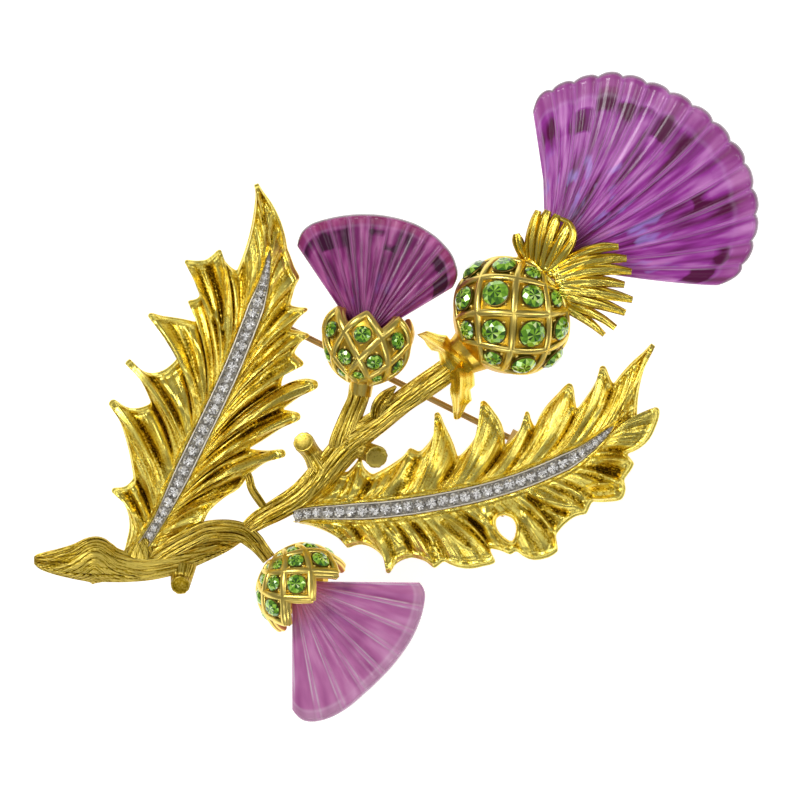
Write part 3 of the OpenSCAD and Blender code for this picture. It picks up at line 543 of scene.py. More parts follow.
leaves["right"]["strokes"] = [
    ([(593, 466), (603, 460), (616, 458.5), (628, 461)], 2.6, 0.7),
    ([(598, 474), (608, 470), (620, 470)], 4.5, -1.1),
    ([(582, 490), (593, 485), (608, 483), (618, 487)], 2.0, 0.7),
    ([(590, 492), (603, 491), (614, 491)], 3, -0.9),
    ([(590, 498), (603, 499), (615, 496)], 2.2, 0.6),
    ([(529, 492), (554, 503), (582, 509)], 3.4, 0.55),
    ([(534, 502), (557, 515), (574, 520)], 3, 0.5),
    ([(527, 498), (550, 509), (570, 515)], 2.0, -0.7),
    ([(486, 510), (486, 524), (492, 540)], 4, 0.4),
    ([(524, 512), (533, 530), (545, 548)], 4, 0.5),
    ([(540, 520), (548, 534), (553, 546)], 2.6, -0.5),
    ([(612, 389), (598, 409), (578, 436)], 2.6, -0.4),
    ([(576, 412), (562, 432), (546, 456)], 2.8, -0.5),
    ([(534, 430), (521, 450), (505, 475)], 2.8, -0.5),
    ([(504, 448), (490, 467), (474, 488)], 2.6, -0.5),
    ([(457, 460), (446, 478), (437, 493)], 2.6, -0.5),
    ([(419, 455), (404, 480), (392, 501)], 2.8, -0.5),
    ([(372, 477), (360, 494), (350, 505)], 2.4, -0.45),
    ([(603, 369), (575, 412), (558, 438)], 4.5, 0.4),
    ([(570, 387), (545, 425), (518, 460)], 4.5, 0.4),
    ([(483, 404), (471, 430), (455, 466)], 4, 0.45),
    ([(437, 415), (428, 440), (414, 475)], 4, 0.45),
    ([(345, 524), (362, 540)], 2.2, -0.6), ([(385, 523), (410, 548)], 2.2, -0.7),
    ([(412, 522), (440, 552)], 2.2, -0.7), ([(440, 520), (470, 546)], 2.4, -0.8),
    ([(456, 512), (486, 531)], 2.4, -0.7)]


def ribHeight(plan, s):
    last = len(plan["midrib"]) - 1
    return leaves["ribHeight"] - 0.7 + 0.7 * np.sin(math.pi * np.clip(s, 0, last) / last)


def stripTaper(plan, s):
    last = len(plan["midrib"]) - 1
    return np.minimum(1, np.minimum(0.1 + 0.45 * np.maximum(0, s - plan["stripFrom"]),
                                    plan["endTaper"] + 0.2 * np.maximum(0, last - 1 - s)))


def grooveHeight(plan, s):
    return ribHeight(plan, s) - 1


def heading(plan, s):
    last = len(plan["midrib"]) - 1
    ahead = toMm(curve(plan["midrib"], np.minimum(s + 0.1, last)))
    return unit(ahead - toMm(curve(plan["midrib"], np.maximum(s - 0.1, 0))))


def edgeOf(plan, side):
    # The points of a side's edge with, for each, its place on the midrib, its height,
    # and its crest: 0 at a notch and 1 at a tip
    name = "outer" if side < 0 else "inner"
    rows, tips = plan[name], plan[name + "Tips"]
    rise, riseTo, fall, fallTo = folds[plan[name + "Folds"]]
    spots, places, heights, crests, bulges = [], [], [], [], []

    def segment(a, b, bow, sA, sB, zA, zB, rising, radius):
        a, b = np.array(a, float), np.array(b, float)
        far = np.linalg.norm(b - a)
        n = max(6, int(far / leaves["columnSpacing"]))
        t = np.arange(n) / n
        if rising:  # more columns turn round the tip itself
            t = np.concatenate([t, np.full(3, 1 - 1e-4)])
        else:
            t = np.concatenate([np.full(3, 1e-4), t])
        along = unit(b - a)
        bend = np.stack([along[1], -along[0]]) * bow  # to the left, as y runs down
        spots.append(a + (b - a) * t[:, None] + bend * (4 * t * (1 - t))[:, None])
        places.append(mix(sA, sB, t))
        heights.append(mix(zA, zB, t))
        size = min(1, far / 22)
        crests.append(np.interp(t, rise, riseTo) if rising else np.interp(t, fall, fallTo))
        crests[-1] = crests[-1] * strong * (0.55 + 0.45 * size) + (1 - strong) * 0.5
        fromTip = (1 - t if rising else t) * far
        bulges.append(radius * bell(fromTip, 0, radius * 3.2))

    start = plan["stripFrom"] - 0.15
    notch = leaves["notchHeight"]
    for i, row in enumerate(rows):
        after, radius, strong = np.array(row[5:7], float), tips[i], plan[name + "Depths"][i]
        before = rows[i - 1] if i else None
        base = (np.array(before[5:7], float) + after) / 2 if i else np.array(plan["midrib"][3])
        tip = np.array(row[:2], float)
        tip = tip - unit(tip - base) * radius * 0.8
        if i == 0:
            segment(tip, after, row[4], start, row[7], row[2], notch, False, radius)
            continue
        middle = (before[7] + row[7]) / 2
        segment(before[5:7], tip, row[3], before[7], middle, notch, row[2], True, radius)
        segment(tip, after, row[4], middle, row[7], row[2], notch, False, radius)
    return [np.concatenate(x) for x in (spots, places, heights, crests, bulges)]


def inside(spots, ring):
    # Which spots lie inside a closed outline
    found = np.zeros(len(spots), bool)
    for a, b in zip(ring, np.roll(ring, -1, axis=0)):
        crosses = (a[1] > spots[:, 1]) != (b[1] > spots[:, 1])
        at = a[0] + (spots[:, 1] - a[1]) * (b[0] - a[0]) / (b[1] - a[1] + 1e-12)
        found ^= crosses & (spots[:, 0] < at)
    return found


def softened(values, passes):
    for _ in range(passes):
        values[1:-1] = values[1:-1] * 0.5 + (values[:-2] + values[2:]) * 0.25
    return values


def strokeLift(strokes, x, y):
    # How far the strokes lift each spot
    lift = np.zeros_like(x)
    for points, width, height in strokes:
        if height < 0:
            width, height = width * leaves["cutWidth"], height * leaves["cutDepth"]
        points = np.asarray(points, float)
        fine = curve(points, np.linspace(0, len(points) - 1, 5 * len(points)))
        best = np.full(x.shape, 1e9)
        share = np.zeros_like(x)
        for k in range(len(fine) - 1):
            a, b = fine[k], fine[k + 1]
            d = b - a
            t = np.clip(((x - a[0]) * d[0] + (y - a[1]) * d[1]) / (d @ d + 1e-9), 0, 1)
            far = np.hypot(x - a[0] - d[0] * t, y - a[1] - d[1] * t)
            nearer = far < best
            best = np.where(nearer, far, best)
            share = np.where(nearer, (k + t) / (len(fine) - 1), share)
        taper = 0.25 + 0.75 * np.sin(np.pi * np.clip(share, 0, 1)) ** 0.5
        lift += height * taper * bell(best, 0, width * (0.4 + 0.6 * taper))
    return lift


def leafSide(shape, plan, side, seed):
    spots, s, outZ, crest, bulge = edgeOf(plan, side)
    edge = toMm(softened(spots, 2))
    # Round tips: the edge is pushed out along its own turned-out direction
    out = leftOf(unit(np.gradient(edge, axis=0))) * side
    edge = edge + unit(softened(out, 5)) * (bulge * step)[:, None]
    edge = softened(edge, 2)
    run = runOf(edge)
    crest = softened(crest, 3)
    s = softened(s, 3)
    taper = stripTaper(plan, s)
    # The two sides meet in front of the strip's point
    opened = smoothStep(plan["stripFrom"] - 0.1, plan["stripFrom"] + 0.5, s)
    reach = mix(-0.08, (leaves["stripWidth"] / 2 + leaves["seam"]) * taper, opened)
    root = toMm(curve(plan["midrib"], s)) + leftOf(heading(plan, s)) * (side * reach)[:, None]
    length = np.linalg.norm(edge - root, axis=1)
    gaps = np.array([0, 0.07, 0.15, 0.25, 0.37, 0.52, 0.72, 1.0])
    shrink = np.minimum(1, length / 3)[:, None]
    inner = np.linspace(0, 1, 30)[None] * (1 - gaps[-1] * shrink / length[:, None])
    outer = 1 - gaps[::-1][1:][None] * shrink / length[:, None]
    u = np.concatenate([inner, outer], 1)
    away = (1 - u) * length[:, None]
    near = u * length[:, None]
    vein = leaves["vein"] * side * smoothStep(0.5, 4, run)
    chord = edge - root
    path = (root[:, None] + chord[:, None] * u[..., None]
            + leftOf(chord)[:, None] * (vein[:, None] * 4 * u * (1 - u))[..., None])
    swell = 0.1 + 0.9 * smoothStep(0.02, 0.5, u) - 0.7 * u ** 3
    ribZ = ribHeight(plan, s)[:, None]
    top = mix(ribZ, outZ[:, None], u) + leaves["fold"] * crest[:, None] * swell
    ripple = waves(run, seed, *leaves["ripples"])
    body = smoothStep(0.02, 0.25, u) * smoothStep(0.0, 0.9, away)
    top = top + ripple[:, None] * body
    x = path[..., 0] / step + drawing["middle"][0]
    y = drawing["middle"][1] - path[..., 1] / step
    top = top + strokeLift(plan["strokes"], x, y) * smoothStep(0.0, 0.4, away)
    # A rounded polished rim along the edge, and a fine line beside the strip
    rim, rimGroove, line, lineGroove = (
        bell(far, *leaves[name][:2]) * leaves[name][2] for far, name in
        ((away, "rim"), (away, "rimGroove"), (near, "line"), (near, "lineGroove")))
    top = top + (rim - rimGroove) * smoothStep(0.5, 2.0, length)[:, None] + (line - lineGroove)
    # Painted shade: spots that lie lower than their neighbours on the same sheet are drawn darker, as
    # recesses
    level = top.copy()
    for _ in range(leaves["levelPasses"]):
        level[1:-1] = (level[:-2] + level[2:] + 2 * level[1:-1]) / 4
    paintedShade = np.clip((level - top) * leaves["shadeGain"] + leaves["shadeAdded"], 0, 1)
    paintedShade = paintedShade * (1 - smoothStep(0.75, 0.35, away))
    thick = leaves["thickness"] * mix(1.1, 0.62, u)
    # The section of each column runs out on top, round the edge and back below
    arc = np.radians([65, 30, 0, -30, -65])
    out = unit(path[:, -1] - path[:, -2])
    half = (thick[:, -1] / 2)[:, None]
    arcXy = path[:, -1][:, None] + out[:, None] * (leaves["roundEdge"] * np.cos(arc)[None, :, None])
    arcZ = top[:, -1][:, None] - half + half * np.sin(arc)[None]
    under = slice(None, None, 5)
    backXy, backZ = path[:, ::-1][:, under], (top - thick)[:, ::-1][:, under]
    grid = np.concatenate([
        np.concatenate([path, top[..., None]], -1),
        np.concatenate([arcXy, arcZ[..., None]], -1),
        np.concatenate([backXy, np.minimum(backZ, 6)[..., None]], -1)], 1)
    mark = np.zeros(grid.shape)
    mark[..., 0] = run[:, None] + side * 50 + seed
    mark[:, :u.shape[1], 1] = near
    mark[:, u.shape[1]:, 1] = length[:, None]
    mark[:, :u.shape[1], 2] = paintedShade
    # The underside is given painted shade
    mark[:, u.shape[1] + len(arc):, 2] = leaves["backShade"]
    hole = plan["hole"] if side > 0 else None
    if hole is None:
        shape.sheet(grid, mark)
        return
    # The gap between two folds, with a rounded lip all round it
    lip = leaves["lip"]
    places = np.linspace(1, len(hole) + 1, lip["points"] + 1)[:-1]
    ring = toMm(curve(hole + hole[:3], places))
    shape.sheet(grid, mark, hole=ring)
    flat = path.reshape(-1, 2)
    nearest = [int(np.argmin(((flat - spot) ** 2).sum(1))) for spot in ring]
    lipZ = (top - thick / 2).reshape(-1)[nearest]
    for _ in range(lip["passes"]):
        lipZ = (np.roll(lipZ, 1) + np.roll(lipZ, -1) + 2 * lipZ) / 4
    lipSide = leftOf(unit(np.roll(ring, -1, axis=0) - np.roll(ring, 1, axis=0)))
    turn = turnsOf(lip["sides"])
    lipXy = ring[:, None] + lipSide[:, None] * (lip["wide"] * np.cos(turn))[None, :, None]
    lipZ = lipZ[:, None] + lip["tall"] * np.sin(turn)[None]
    # The lip carries a little painted shade
    shape.sheet(np.concatenate([lipXy, lipZ[..., None]], -1), (0, 0, 0.1), loop=True)


def bandAlong(plan, sFrom, sTo, section, count):
    # Rings of a band along the midrib; section holds half widths and heights
    s = np.linspace(sFrom, sTo, count)
    spots = toMm(curve(plan["midrib"], s))
    side = leftOf(heading(plan, s)) * stripTaper(plan, s)[:, None]
    section = np.asarray(section, float)
    xy = spots[:, None] + side[:, None] * section[None, :, :1]
    z = grooveHeight(plan, s)[:, None] + section[None, :, 1]
    return np.concatenate([xy, z[..., None]], -1)


def makeLeaf(which, seed):
    plan = leaves[which]
    shape = Shape()
    leafSide(shape, plan, -1, seed)
    leafSide(shape, plan, 1, seed + 1)
    half = leaves["stripWidth"] / 2 + 0.5
    spine = [(-half, -1.1), (half, -1.1), (half, 0), (-half, 0)]
    # The spine under the strip is given painted shade
    shape.sheet(bandAlong(plan, plan["stripFrom"] - 0.1, plan["stripTo"] - 0.2, spine, 60),
                (0, 0, 0.5))
    shape.build(which + "Leaf", leafGold, "gold", [which + "_leaf"])


makeLeaf("left", 3)
makeLeaf("right", 8)

# The pave strips and their stones
strips = {"rim": 0.26, "low": 0.1, "floor": 0.35, "rimHeight": 0.6, "rings": 180, "pitch": 1.5,
          "stoneGap": 0.01, "stoneHeight": 0.47, "crown": 0.34, "pavilion": 0.35, "table": 0.45,
          "spin": 0.3, "bead": 0.15, "beadHeight": 0.12}


def makeStrip(which):
    plan = leaves[which]
    outer = leaves["stripWidth"] / 2
    inner = outer - strips["rim"]
    floor = strips["low"] + strips["floor"]
    top = floor + strips["rimHeight"]
    right = [(outer, strips["low"]), (outer, top - 0.12), (outer - 0.05, top - 0.03),
             (inner + strips["rim"] / 2, top), (inner + 0.05, top - 0.03), (inner, top - 0.12),
             (inner - 0.04, floor)]
    section = [(-w, h) for w, h in right][::-1] + right
    # Painted shade darkens the strip's floor between the stones; the rim's negative value keeps the rim
    # evenly light
    mark = [(0, 0, 0.45 if abs(w) <= inner + 0.01 and h < top - 0.15 else -0.5)
            for w, h in section[::-1]]
    shape = Shape()
    shape.sheet(bandAlong(plan, plan["stripFrom"] + 0.05, plan["stripTo"], section[::-1],
                          strips["rings"]), mark)
    shape.build(which + "Strip", silver, "silver", [which + "_strip"], sharp=50)


def gemFacets(radius, crown, pavilion, table, sides=8):
    # Triangles of a round stone with its table up, girdle at height 0
    turn = turnsOf(sides * 2)
    girdle = np.stack([np.cos(turn) * radius, np.sin(turn) * radius, 0 * turn], -1)
    middle = girdle[1::2] * 0.8 + [0, 0, crown * 0.6]
    flat = girdle[0::2] * table + [0, 0, crown]
    point = np.array([0, 0, -pavilion])
    top = np.array([0, 0, crown])
    tris = []
    for i in range(sides):
        j = (i + 1) % sides
        a, b, c = girdle[2 * i], girdle[2 * i + 1], girdle[2 * j]
        tris += [(a, b, middle[i]), (b, c, middle[i]), (flat[i], middle[i], flat[j]),
                 (flat[i], a, middle[i]), (flat[j], middle[i], c)]
        edge = (flat[i] + flat[j]) / 2
        tris += [(top, flat[i], edge), (top, edge, flat[j])]
        tris += [(point, b, a), (point, c, b)]
    return np.array(tris)


def gemValues(rng, count):
    # A painted reflection for each facet, a bright or dark share, with the table's facets taking turns
    values = []
    for i in range(count // 9):
        values += list(rng.uniform(0.0, 1.0, 2) ** 1.1 * 0.9)
        values += list(rng.uniform(0.2, 1.0, 3))
        pair = rng.permutation([rng.uniform(0.0, 0.3), rng.uniform(0.45, 1.0)])
        values += [pair[0], pair[1], 0.15, 0.15]
    return np.array(values)


def turnedTo(direction):
    # Three axes with the last along the direction
    z = direction / np.linalg.norm(direction)
    side = np.array([0, 1.0, 0]) if abs(z[1]) < 0.9 else np.array([1.0, 0, 0])
    x = np.cross(side, z)
    x /= np.linalg.norm(x)
    return np.stack([x, np.cross(z, x), z])


def addGem(shape, rng, centre, direction, radius, crown, pavilion, spin, table):
    tris = gemFacets(radius, crown, pavilion, table)
    c, n = math.cos(spin), math.sin(spin)
    tris = tris @ np.array([[c, n, 0], [-n, c, 0], [0, 0, 1]])
    shape.facets(tris @ turnedTo(np.asarray(direction, float)) + centre,
                 gemValues(rng, len(tris)))


def addBall(shape, centre, radius, squash=1.0, direction=(0, 0, 1)):
    # A small bead
    a = np.linspace(0.12, math.pi - 0.12, 6)[:, None]
    b = np.linspace(0, 2 * math.pi, 10, endpoint=False)[None]
    ball = np.stack([np.sin(a) * np.cos(b), np.sin(a) * np.sin(b), np.cos(a) * squash + 0 * b], -1)
    ball = ball * radius @ turnedTo(np.asarray(direction, float))
    shape.sheet(ball[::-1] + centre)


def makeStripStones(which, seed):
    plan = leaves[which]
    rng = np.random.RandomState(seed)
    marks = np.linspace(plan["stripFrom"] + 0.5, plan["stripTo"] - 0.17, 101)
    sums = runOf(toMm(curve(plan["midrib"], marks)))
    stones, beads = Shape(), Shape()
    floor = strips["low"] + strips["floor"]
    run, turn = 0.0, 0
    while run < sums[-1]:
        s = np.interp(run, sums, marks)
        p = toMm(curve(plan["midrib"], s))
        width = (leaves["stripWidth"] / 2 - strips["rim"]) * stripTaper(plan, s)
        radius = min(strips["pitch"] / 2, width + 0.02) - strips["stoneGap"]
        z = grooveHeight(plan, s) + floor + strips["stoneHeight"]
        turn += 1
        addGem(stones, rng, np.array([*p, z]), (0, 0, 1), radius, strips["crown"],
               strips["pavilion"], strips["spin"] * turn, strips["table"])
        # Two small beads stand in the corners between one stone and the next
        s2 = np.interp(run + radius, sums, marks)
        q, side = toMm(curve(plan["midrib"], s2)), leftOf(heading(plan, s2))
        for way in (-1, 1):
            spot = q + side * way * (width - strips["bead"] * 0.8)
            addBall(beads, np.array([*spot, z + strips["beadHeight"]]),
                    strips["bead"] * min(1, radius / 0.6))
        run += 2 * (radius + strips["stoneGap"])
    stones.build(which + "StripStones", clearStone, "clear_stone", [which + "_strip_stones"],
                 sharp=0)
    beads.build(which + "StripBeads", silver, "silver")


makeStrip("left")
makeStrip("right")
makeStripStones("left", 21)
makeStripStones("right", 22)

# The stem. Each bar is rows of x, y, height, half width in steps and half height.
stem = {"sides": 84, "ridges": 17, "ridgeDepth": 0.13, "twigSides": 48, "twigRings": 26}
stem["bars"] = {
    "butt": [(34, 560.5, 4.6, 3.5, 0.7), (38, 560.5, 4.6, 6.5, 1), (46, 561.5, 4.7, 9.5, 1.3),
             (60, 562, 4.8, 13.5, 1.6), (76, 561.5, 4.9, 18, 1.8), (90, 560, 5, 22.5, 1.9),
             (97, 560.5, 5, 23.5, 1.9), (105, 562.5, 5, 20.5, 1.8), (114, 565, 4.9, 17, 1.7),
             (128, 567, 4.8, 14.5, 1.7), (150, 567, 4.8, 12.5, 1.6), (175, 562, 4.7, 11.5, 1.5),
             (200, 553, 4.5, 10, 1.3), (222, 546, 4.2, 7, 1), (241, 541, 4, 1.5, 0.4)],
    "arch": [(138, 571, 4.8, 4, 0.6), (160, 557, 4.9, 10, 1.2), (175, 547, 4.9, 10, 1.3),
             (190, 539, 4.9, 10, 1.3), (207, 531.5, 4.9, 10, 1.2), (228, 530, 4.9, 10, 1.2),
             (243, 533, 4.8, 9.5, 1.2), (254, 541, 4.7, 8.5, 1.1), (262, 550, 4.6, 7, 1),
             (269, 559, 4.5, 6.5, 1)],
    "main": [(240, 532, 4.7, 4, 0.7), (250, 526, 4.8, 7.5, 1.1), (262, 518, 4.8, 9.5, 1.3),
             (280, 508, 4.7, 11, 1.4),
             (303, 493, 4.7, 12.5, 1.5), (325, 471, 4.7, 14, 1.6), (343, 451, 4.7, 14.5, 1.6),
             (362, 433, 4.7, 13, 1.5), (380, 420, 4.7, 11.5, 1.5), (402, 402, 4.8, 11.5, 1.5),
             (422, 388, 4.9, 12, 1.5), (441.5, 374.5, 5, 12, 1.5), (454, 364, 5, 11, 1.4)],
    "branch": [(332, 464, 5, 5, 0.6), (340, 444, 4.9, 11, 1.3), (351, 416, 4.9, 10.5, 1.3),
               (357.5, 400, 5, 10, 1.3), (360.5, 387, 5, 11, 1.3)],
    "cradle": [(146, 536, 4.2, 6, 0.8), (143, 548, 4.5, 14, 1.2), (140, 560, 4.7, 18, 1.4),
               (138, 570, 4.6, 12, 1.2)],
    "tendril": [(246, 470, 4.4, 3, 0.4), (249, 478, 4.6, 3.8, 0.5), (252, 489, 4.8, 3.9, 0.6),
                (259, 500, 4.9, 3.9, 0.6), (266, 510, 4.8, 3.4, 0.5)],
    "bract": [(374, 426, 5, 2, 0.5), (377, 410, 6, 6, 0.9), (384, 398, 6.2, 6, 0.8),
              (396, 386, 6.2, 1.5, 0.4)]}
# Side twigs that were cut across: base and face as x, y and height, the way the face
# looks, and the half widths in steps at the base, on the way and at the face
stem["twigs"] = [
    ((184, 561, 4.6), (180.5, 585, 6.0), (-0.05, -0.3, 0.95), (13.5, 11, 9.5)),
    ((324, 472, 4.6), (303.5, 442, 6.2), (-0.3, 0.38, 0.88), (14, 9.5, 10.5)),
    ((342, 444, 4.8), (376.5, 457, 6.2), (0.3, -0.3, 0.9), (13, 9.5, 11.5))]


def addStub(shape, base, face, aim, widths, seed):
    base, face = spotAt(base), spotAt(face)
    aim = unit(np.array(aim))
    bend = face - aim * np.linalg.norm(face - base) * 0.55
    t = np.linspace(0, 1, stem["twigRings"])[:, None]
    path = base * (1 - t) ** 2 + bend * (2 * t * (1 - t)) + face * t ** 2
    way = unit(2 * (1 - t) * (bend - base) + 2 * t * (face - bend))
    across = unit(np.cross(face - base, aim))
    over = np.cross(way, across)
    turn = turnsOf(stem["twigSides"])
    radius = curve(np.array(widths)[:, None], t[:, 0] * 2)[:, 0] * step
    bumps = 1 + 0.022 * np.sin(9 * turn + seed) + 0.018 * np.sin(14 * turn + 2 * seed)
    sides = (across * np.cos(turn)[:, None, None] + over[None] * np.sin(turn)[:, None, None])
    rings = path[None] + sides * (radius[None] * bumps[:, None])[..., None]
    grid, mark = list(rings.transpose(1, 0, 2)), []
    # The sides carry painted shade, a little more in the hollows between the bumps
    for row, along in zip(grid, t[:, 0]):
        mark.append(np.stack([turn * 1.6 + seed, 0 * turn + along * 3, 0.2 - 6 * (bumps - 1)], -1))
    # The cut face: a low rim round a shallow dish, with painted shade in the dish
    end = grid[-1]
    for share, lift, paintedShade in ((0.98, 0.05, 0.0), (0.93, 0.09, 0.0), (0.86, 0.09, 0.1),
                                (0.76, 0.05, 0.3), (0.6, 0.01, 0.25), (0.4, -0.01, 0.15),
                                (0.2, -0.02, 0.15), (0.03, -0.02, 0.2)):
        row = face + (end - face) * share + aim * lift
        grid.append(row)
        mark.append(np.stack([0 * turn + seed, row[:, 1] * 0.3, 0 * turn + paintedShade], -1))
    shape.sheet(np.array(grid), np.array(mark))


def addBar(shape, rows, sides, ridges, depth, seed, spacing=0.3, mark=None, shade=0.15):
    # An oval bar with lengthwise ridges that wander a little; painted shade darkens its sides and the
    # valleys between its ridges
    rows = np.asarray(rows, float)
    length = np.linalg.norm(np.diff(toMm(rows[:, :2]), axis=0), axis=1).sum()
    s = np.linspace(0, len(rows) - 1, max(8, int(length / spacing)))
    # Three more rings near each end
    ends = [np.linspace(0, s[1], 5)[1:-1], np.linspace(s[-2], s[-1], 5)[1:-1]]
    s = np.sort(np.concatenate([s, *ends]))
    fine = curve(rows, s)
    spots = toMm(fine[:, :2])
    way = unit(np.gradient(spots, axis=0))
    side = np.concatenate([leftOf(way), np.zeros((len(s), 1))], 1)
    run = runOf(spots)
    turn = turnsOf(sides, 0.5)
    wander = waves(run, seed, (24.0, 9.0), (0.6, 0.2))[:, None]
    phase = turn[None] * ridges / 2 + wander
    bumps = ((np.abs(np.sin(phase)) ** 0.7 - 0.6)
             + 0.5 * np.sin(turn[None] * ridges * 1.6 + wander * 1.7))
    scale = np.maximum(np.abs(fine[:, 3]) * step, 0.05)[:, None]
    grow = 1 + bumps * depth / np.maximum(scale, 0.35) * smoothStep(0.15, 0.8, scale)
    wide = np.maximum(fine[:, 3], 0.3)[:, None] * step * grow * np.cos(turn)[None]
    tall = np.maximum(fine[:, 4], 0.08)[:, None] * grow * np.sin(turn)[None]
    centre = np.concatenate([spots, fine[:, 2:3]], 1)
    grid = centre[:, None] + side[:, None] * wide[..., None] + np.array([0, 0, 1.0]) * tall[..., None]
    if mark is None:
        mark = np.zeros(grid.shape)
        mark[..., 0] = turn[None] * scale * 1.2 + seed * 7 + wander * 0.6
        mark[..., 1] = run[:, None]
        mark[..., 2] = np.clip(shade * smoothStep(0.97, 0.6, np.sin(turn)) - bumps * 0.8, 0, 0.9)
    shape.sheet(grid, mark)


def makeStem():
    shape = Shape()
    for seed, rows in enumerate(stem["bars"].values()):
        addBar(shape, rows, stem["sides"], stem["ridges"], stem["ridgeDepth"], seed + 40)
    for seed, twig in enumerate(stem["twigs"]):
        addStub(shape, *twig, seed + 1)
    shape.build("stem", barkGold, "gold", ["stem"], sharp=60)


makeStem()

# The flower heads: the ball's middle, its radius, the way its axis points, the turn
# between two cells of a row, the turn and place of the first row, and the distance
# between rows, both as logarithmic latitude. A row of cells is its first and last.
heads = {
    "barHeight": 0.8, "wallDepth": 0.55, "barRadius": 0.5, "wall": 1.1, "footM": 150.0,
    "rimDrop": 6, "rimRadius": 0.46, "barPoints": 12, "seatRadius": 0.1,
    "large": {"middle": (511, 316, 5.5), "radius": 8.1, "axis": 42, "turn": 54, "first": (27, -57),
              "rows": 27, "cells": [(-1, 0), (-2, 0), (-2, 1), (-2, 0), (-1, 0)], "stone": 1.74,
              "back": 0.0, "flare": 0.0, "taper": 0.0},
    "middle": {"middle": (367.5, 343, 5.9), "radius": 6.05, "axis": 80, "turn": 48,
               "first": (8, -10), "rows": 35, "cells": [(-1, 1), (-2, 1), (-1, 1)],
               "stone": 1.14, "back": 2.8, "flare": 0.4, "taper": 0.12},
    "small": {"middle": (302.5, 589, 4.3), "radius": 6.2, "axis": -45, "turn": 51,
              "first": (0, 10.5), "rows": 26, "cells": [(-2, 2), (-2, 1), (-1, 1), (-1, 0)],
              "stone": 1.24, "back": 0.0, "flare": 0.3, "taper": 0.0}}


def headCells(head):
    return [(head["first"][0] + head["turn"] * (k + (i % 2) / 2), head["first"][1] + head["rows"] * i)
            for i, (low, high) in enumerate(head["cells"]) for k in range(low, high + 1)]


def polarOf(m):
    return 2 * np.arctan(np.exp(np.radians(m)))


def barSize(m):
    # The bars are thinner towards the two poles of the ball
    return np.clip(0.35 + 0.75 * np.sin(polarOf(m)), 0.4, 1)


def onBall(head, turn, m, radius):
    # Millimetres in the brooch, from a turn, a logarithmic latitude and a radius
    turn, m, radius = np.broadcast_arrays(np.radians(turn), m, radius)
    polar = polarOf(m)
    x = np.cos(polar)
    wide = np.sin(polar) * (1 + head["flare"] * np.maximum(x, 0) - head["taper"] * np.maximum(-x, 0))
    y, z = wide * np.sin(turn), wide * np.cos(turn)
    c, n = math.cos(math.radians(head["axis"])), math.sin(math.radians(head["axis"]))
    centre = spotAt(head["middle"])
    return centre + np.stack([x * c - y * n, x * n + y * c, z], -1) * radius[..., None]


barSection = [(1, -0.6), (0.97, -0.05), (0.82, 0.2), (0.45, 0.42), (0, 0.5), (-0.45, 0.42),
              (-0.82, 0.2), (-0.97, -0.05), (-1, -0.6)]


def addWire(shape, points, normals, radius, section=None):
    # A round bar through points, with the outward direction at each, or a bar of the
    # given section
    way = unit(np.gradient(points, axis=0))
    side = unit(np.cross(normals, way))
    turn = turnsOf(10)
    section = np.array(section) if section else np.stack([np.cos(turn), np.sin(turn)], -1)
    radius = np.broadcast_to(radius, (len(points),))[:, None, None]
    ring = side[:, None] * section[None, :, :1] + normals[:, None] * section[None, :, 1:]
    shape.sheet((points[:, None] + ring * radius)[:, ::-1])


def addLattice(shape, head):
    centre = spotAt(head["middle"])
    cells = headCells(head)
    half, low = head["turn"] / 2, head["rows"]
    done, corners = set(), {}
    depth = heads["barRadius"] * 0.46 + 0.06
    for turn, m in cells:
        ring = [(turn + half, m), (turn, m - low), (turn - half, m), (turn, m + low)]
        for a, b in zip(ring, ring[1:] + ring[:1]):
            key = tuple(sorted([(round(a[0]), round(a[1])), (round(b[0]), round(b[1]))]))
            corners[(round(a[0]), round(a[1]))] = a
            if key in done:
                continue
            done.add(key)
            t = np.linspace(0, 1, heads["barPoints"])
            along = mix(a[1], b[1], t)
            points = onBall(head, mix(a[0], b[0], t), along, head["radius"] - depth)
            addWire(shape, points, unit(points - centre), heads["barRadius"] * barSize(along),
                    barSection)
    for turn, m in corners.values():
        p = onBall(head, turn, m, head["radius"] - depth)
        addBall(shape, p - unit(p - centre) * 0.12, heads["barRadius"] * barSize(m),
                direction=p - centre, squash=0.6)


def headWall(head, isOpen):
    # The wall of the cup: outside from the foot to the rim, then inside back down
    turns = np.linspace(-180, 180, 121)[:-1]
    radius = head["radius"] - heads["wallDepth"]
    if isOpen:
        low = head["first"][1] - heads["rimDrop"]
        away = np.abs((turns - head["first"][0]) / head["turn"] % 1 - 0.5) * 2
        rim = low - head["rows"] * away
        m = mix(heads["footM"], rim[None], np.linspace(0, 1, 60)[:, None])
        # The cup is cut flat at the back, where its floor is as thick as its wall
        within = onBall(head, turns[None], m[::-1], radius - heads["wall"])
        within[..., 2] = np.maximum(within[..., 2], head["back"] + heads["wall"])
        grid = np.concatenate([onBall(head, turns[None], m, radius), within], 0)
    else:
        polar = np.linspace(0.02, math.pi - 0.02, 90)[::-1, None]
        m = np.degrees(np.log(np.tan(polar / 2)))
        grid = onBall(head, turns[None], m, radius)
    grid[..., 2] = np.maximum(grid[..., 2], head["back"])
    return grid[:, ::-1]


def addRim(shape, head):
    # The polished zigzag rim of an open cup
    centre = spotAt(head["middle"])
    low, half = head["first"][1] - heads["rimDrop"], head["turn"] / 2
    for k in range(-4, 4):
        valley = head["first"][0] + head["turn"] * (k + 0.5)
        for way in (-1, 1):
            t = np.linspace(0, 1, heads["barPoints"])
            points = onBall(head, valley + way * half * t, low - head["rows"] * t,
                            head["radius"] - heads["barHeight"] - 0.1)
            if points[:, 2].min() > head["back"] + 0.3:
                addWire(shape, points, unit(points - centre), heads["rimRadius"])


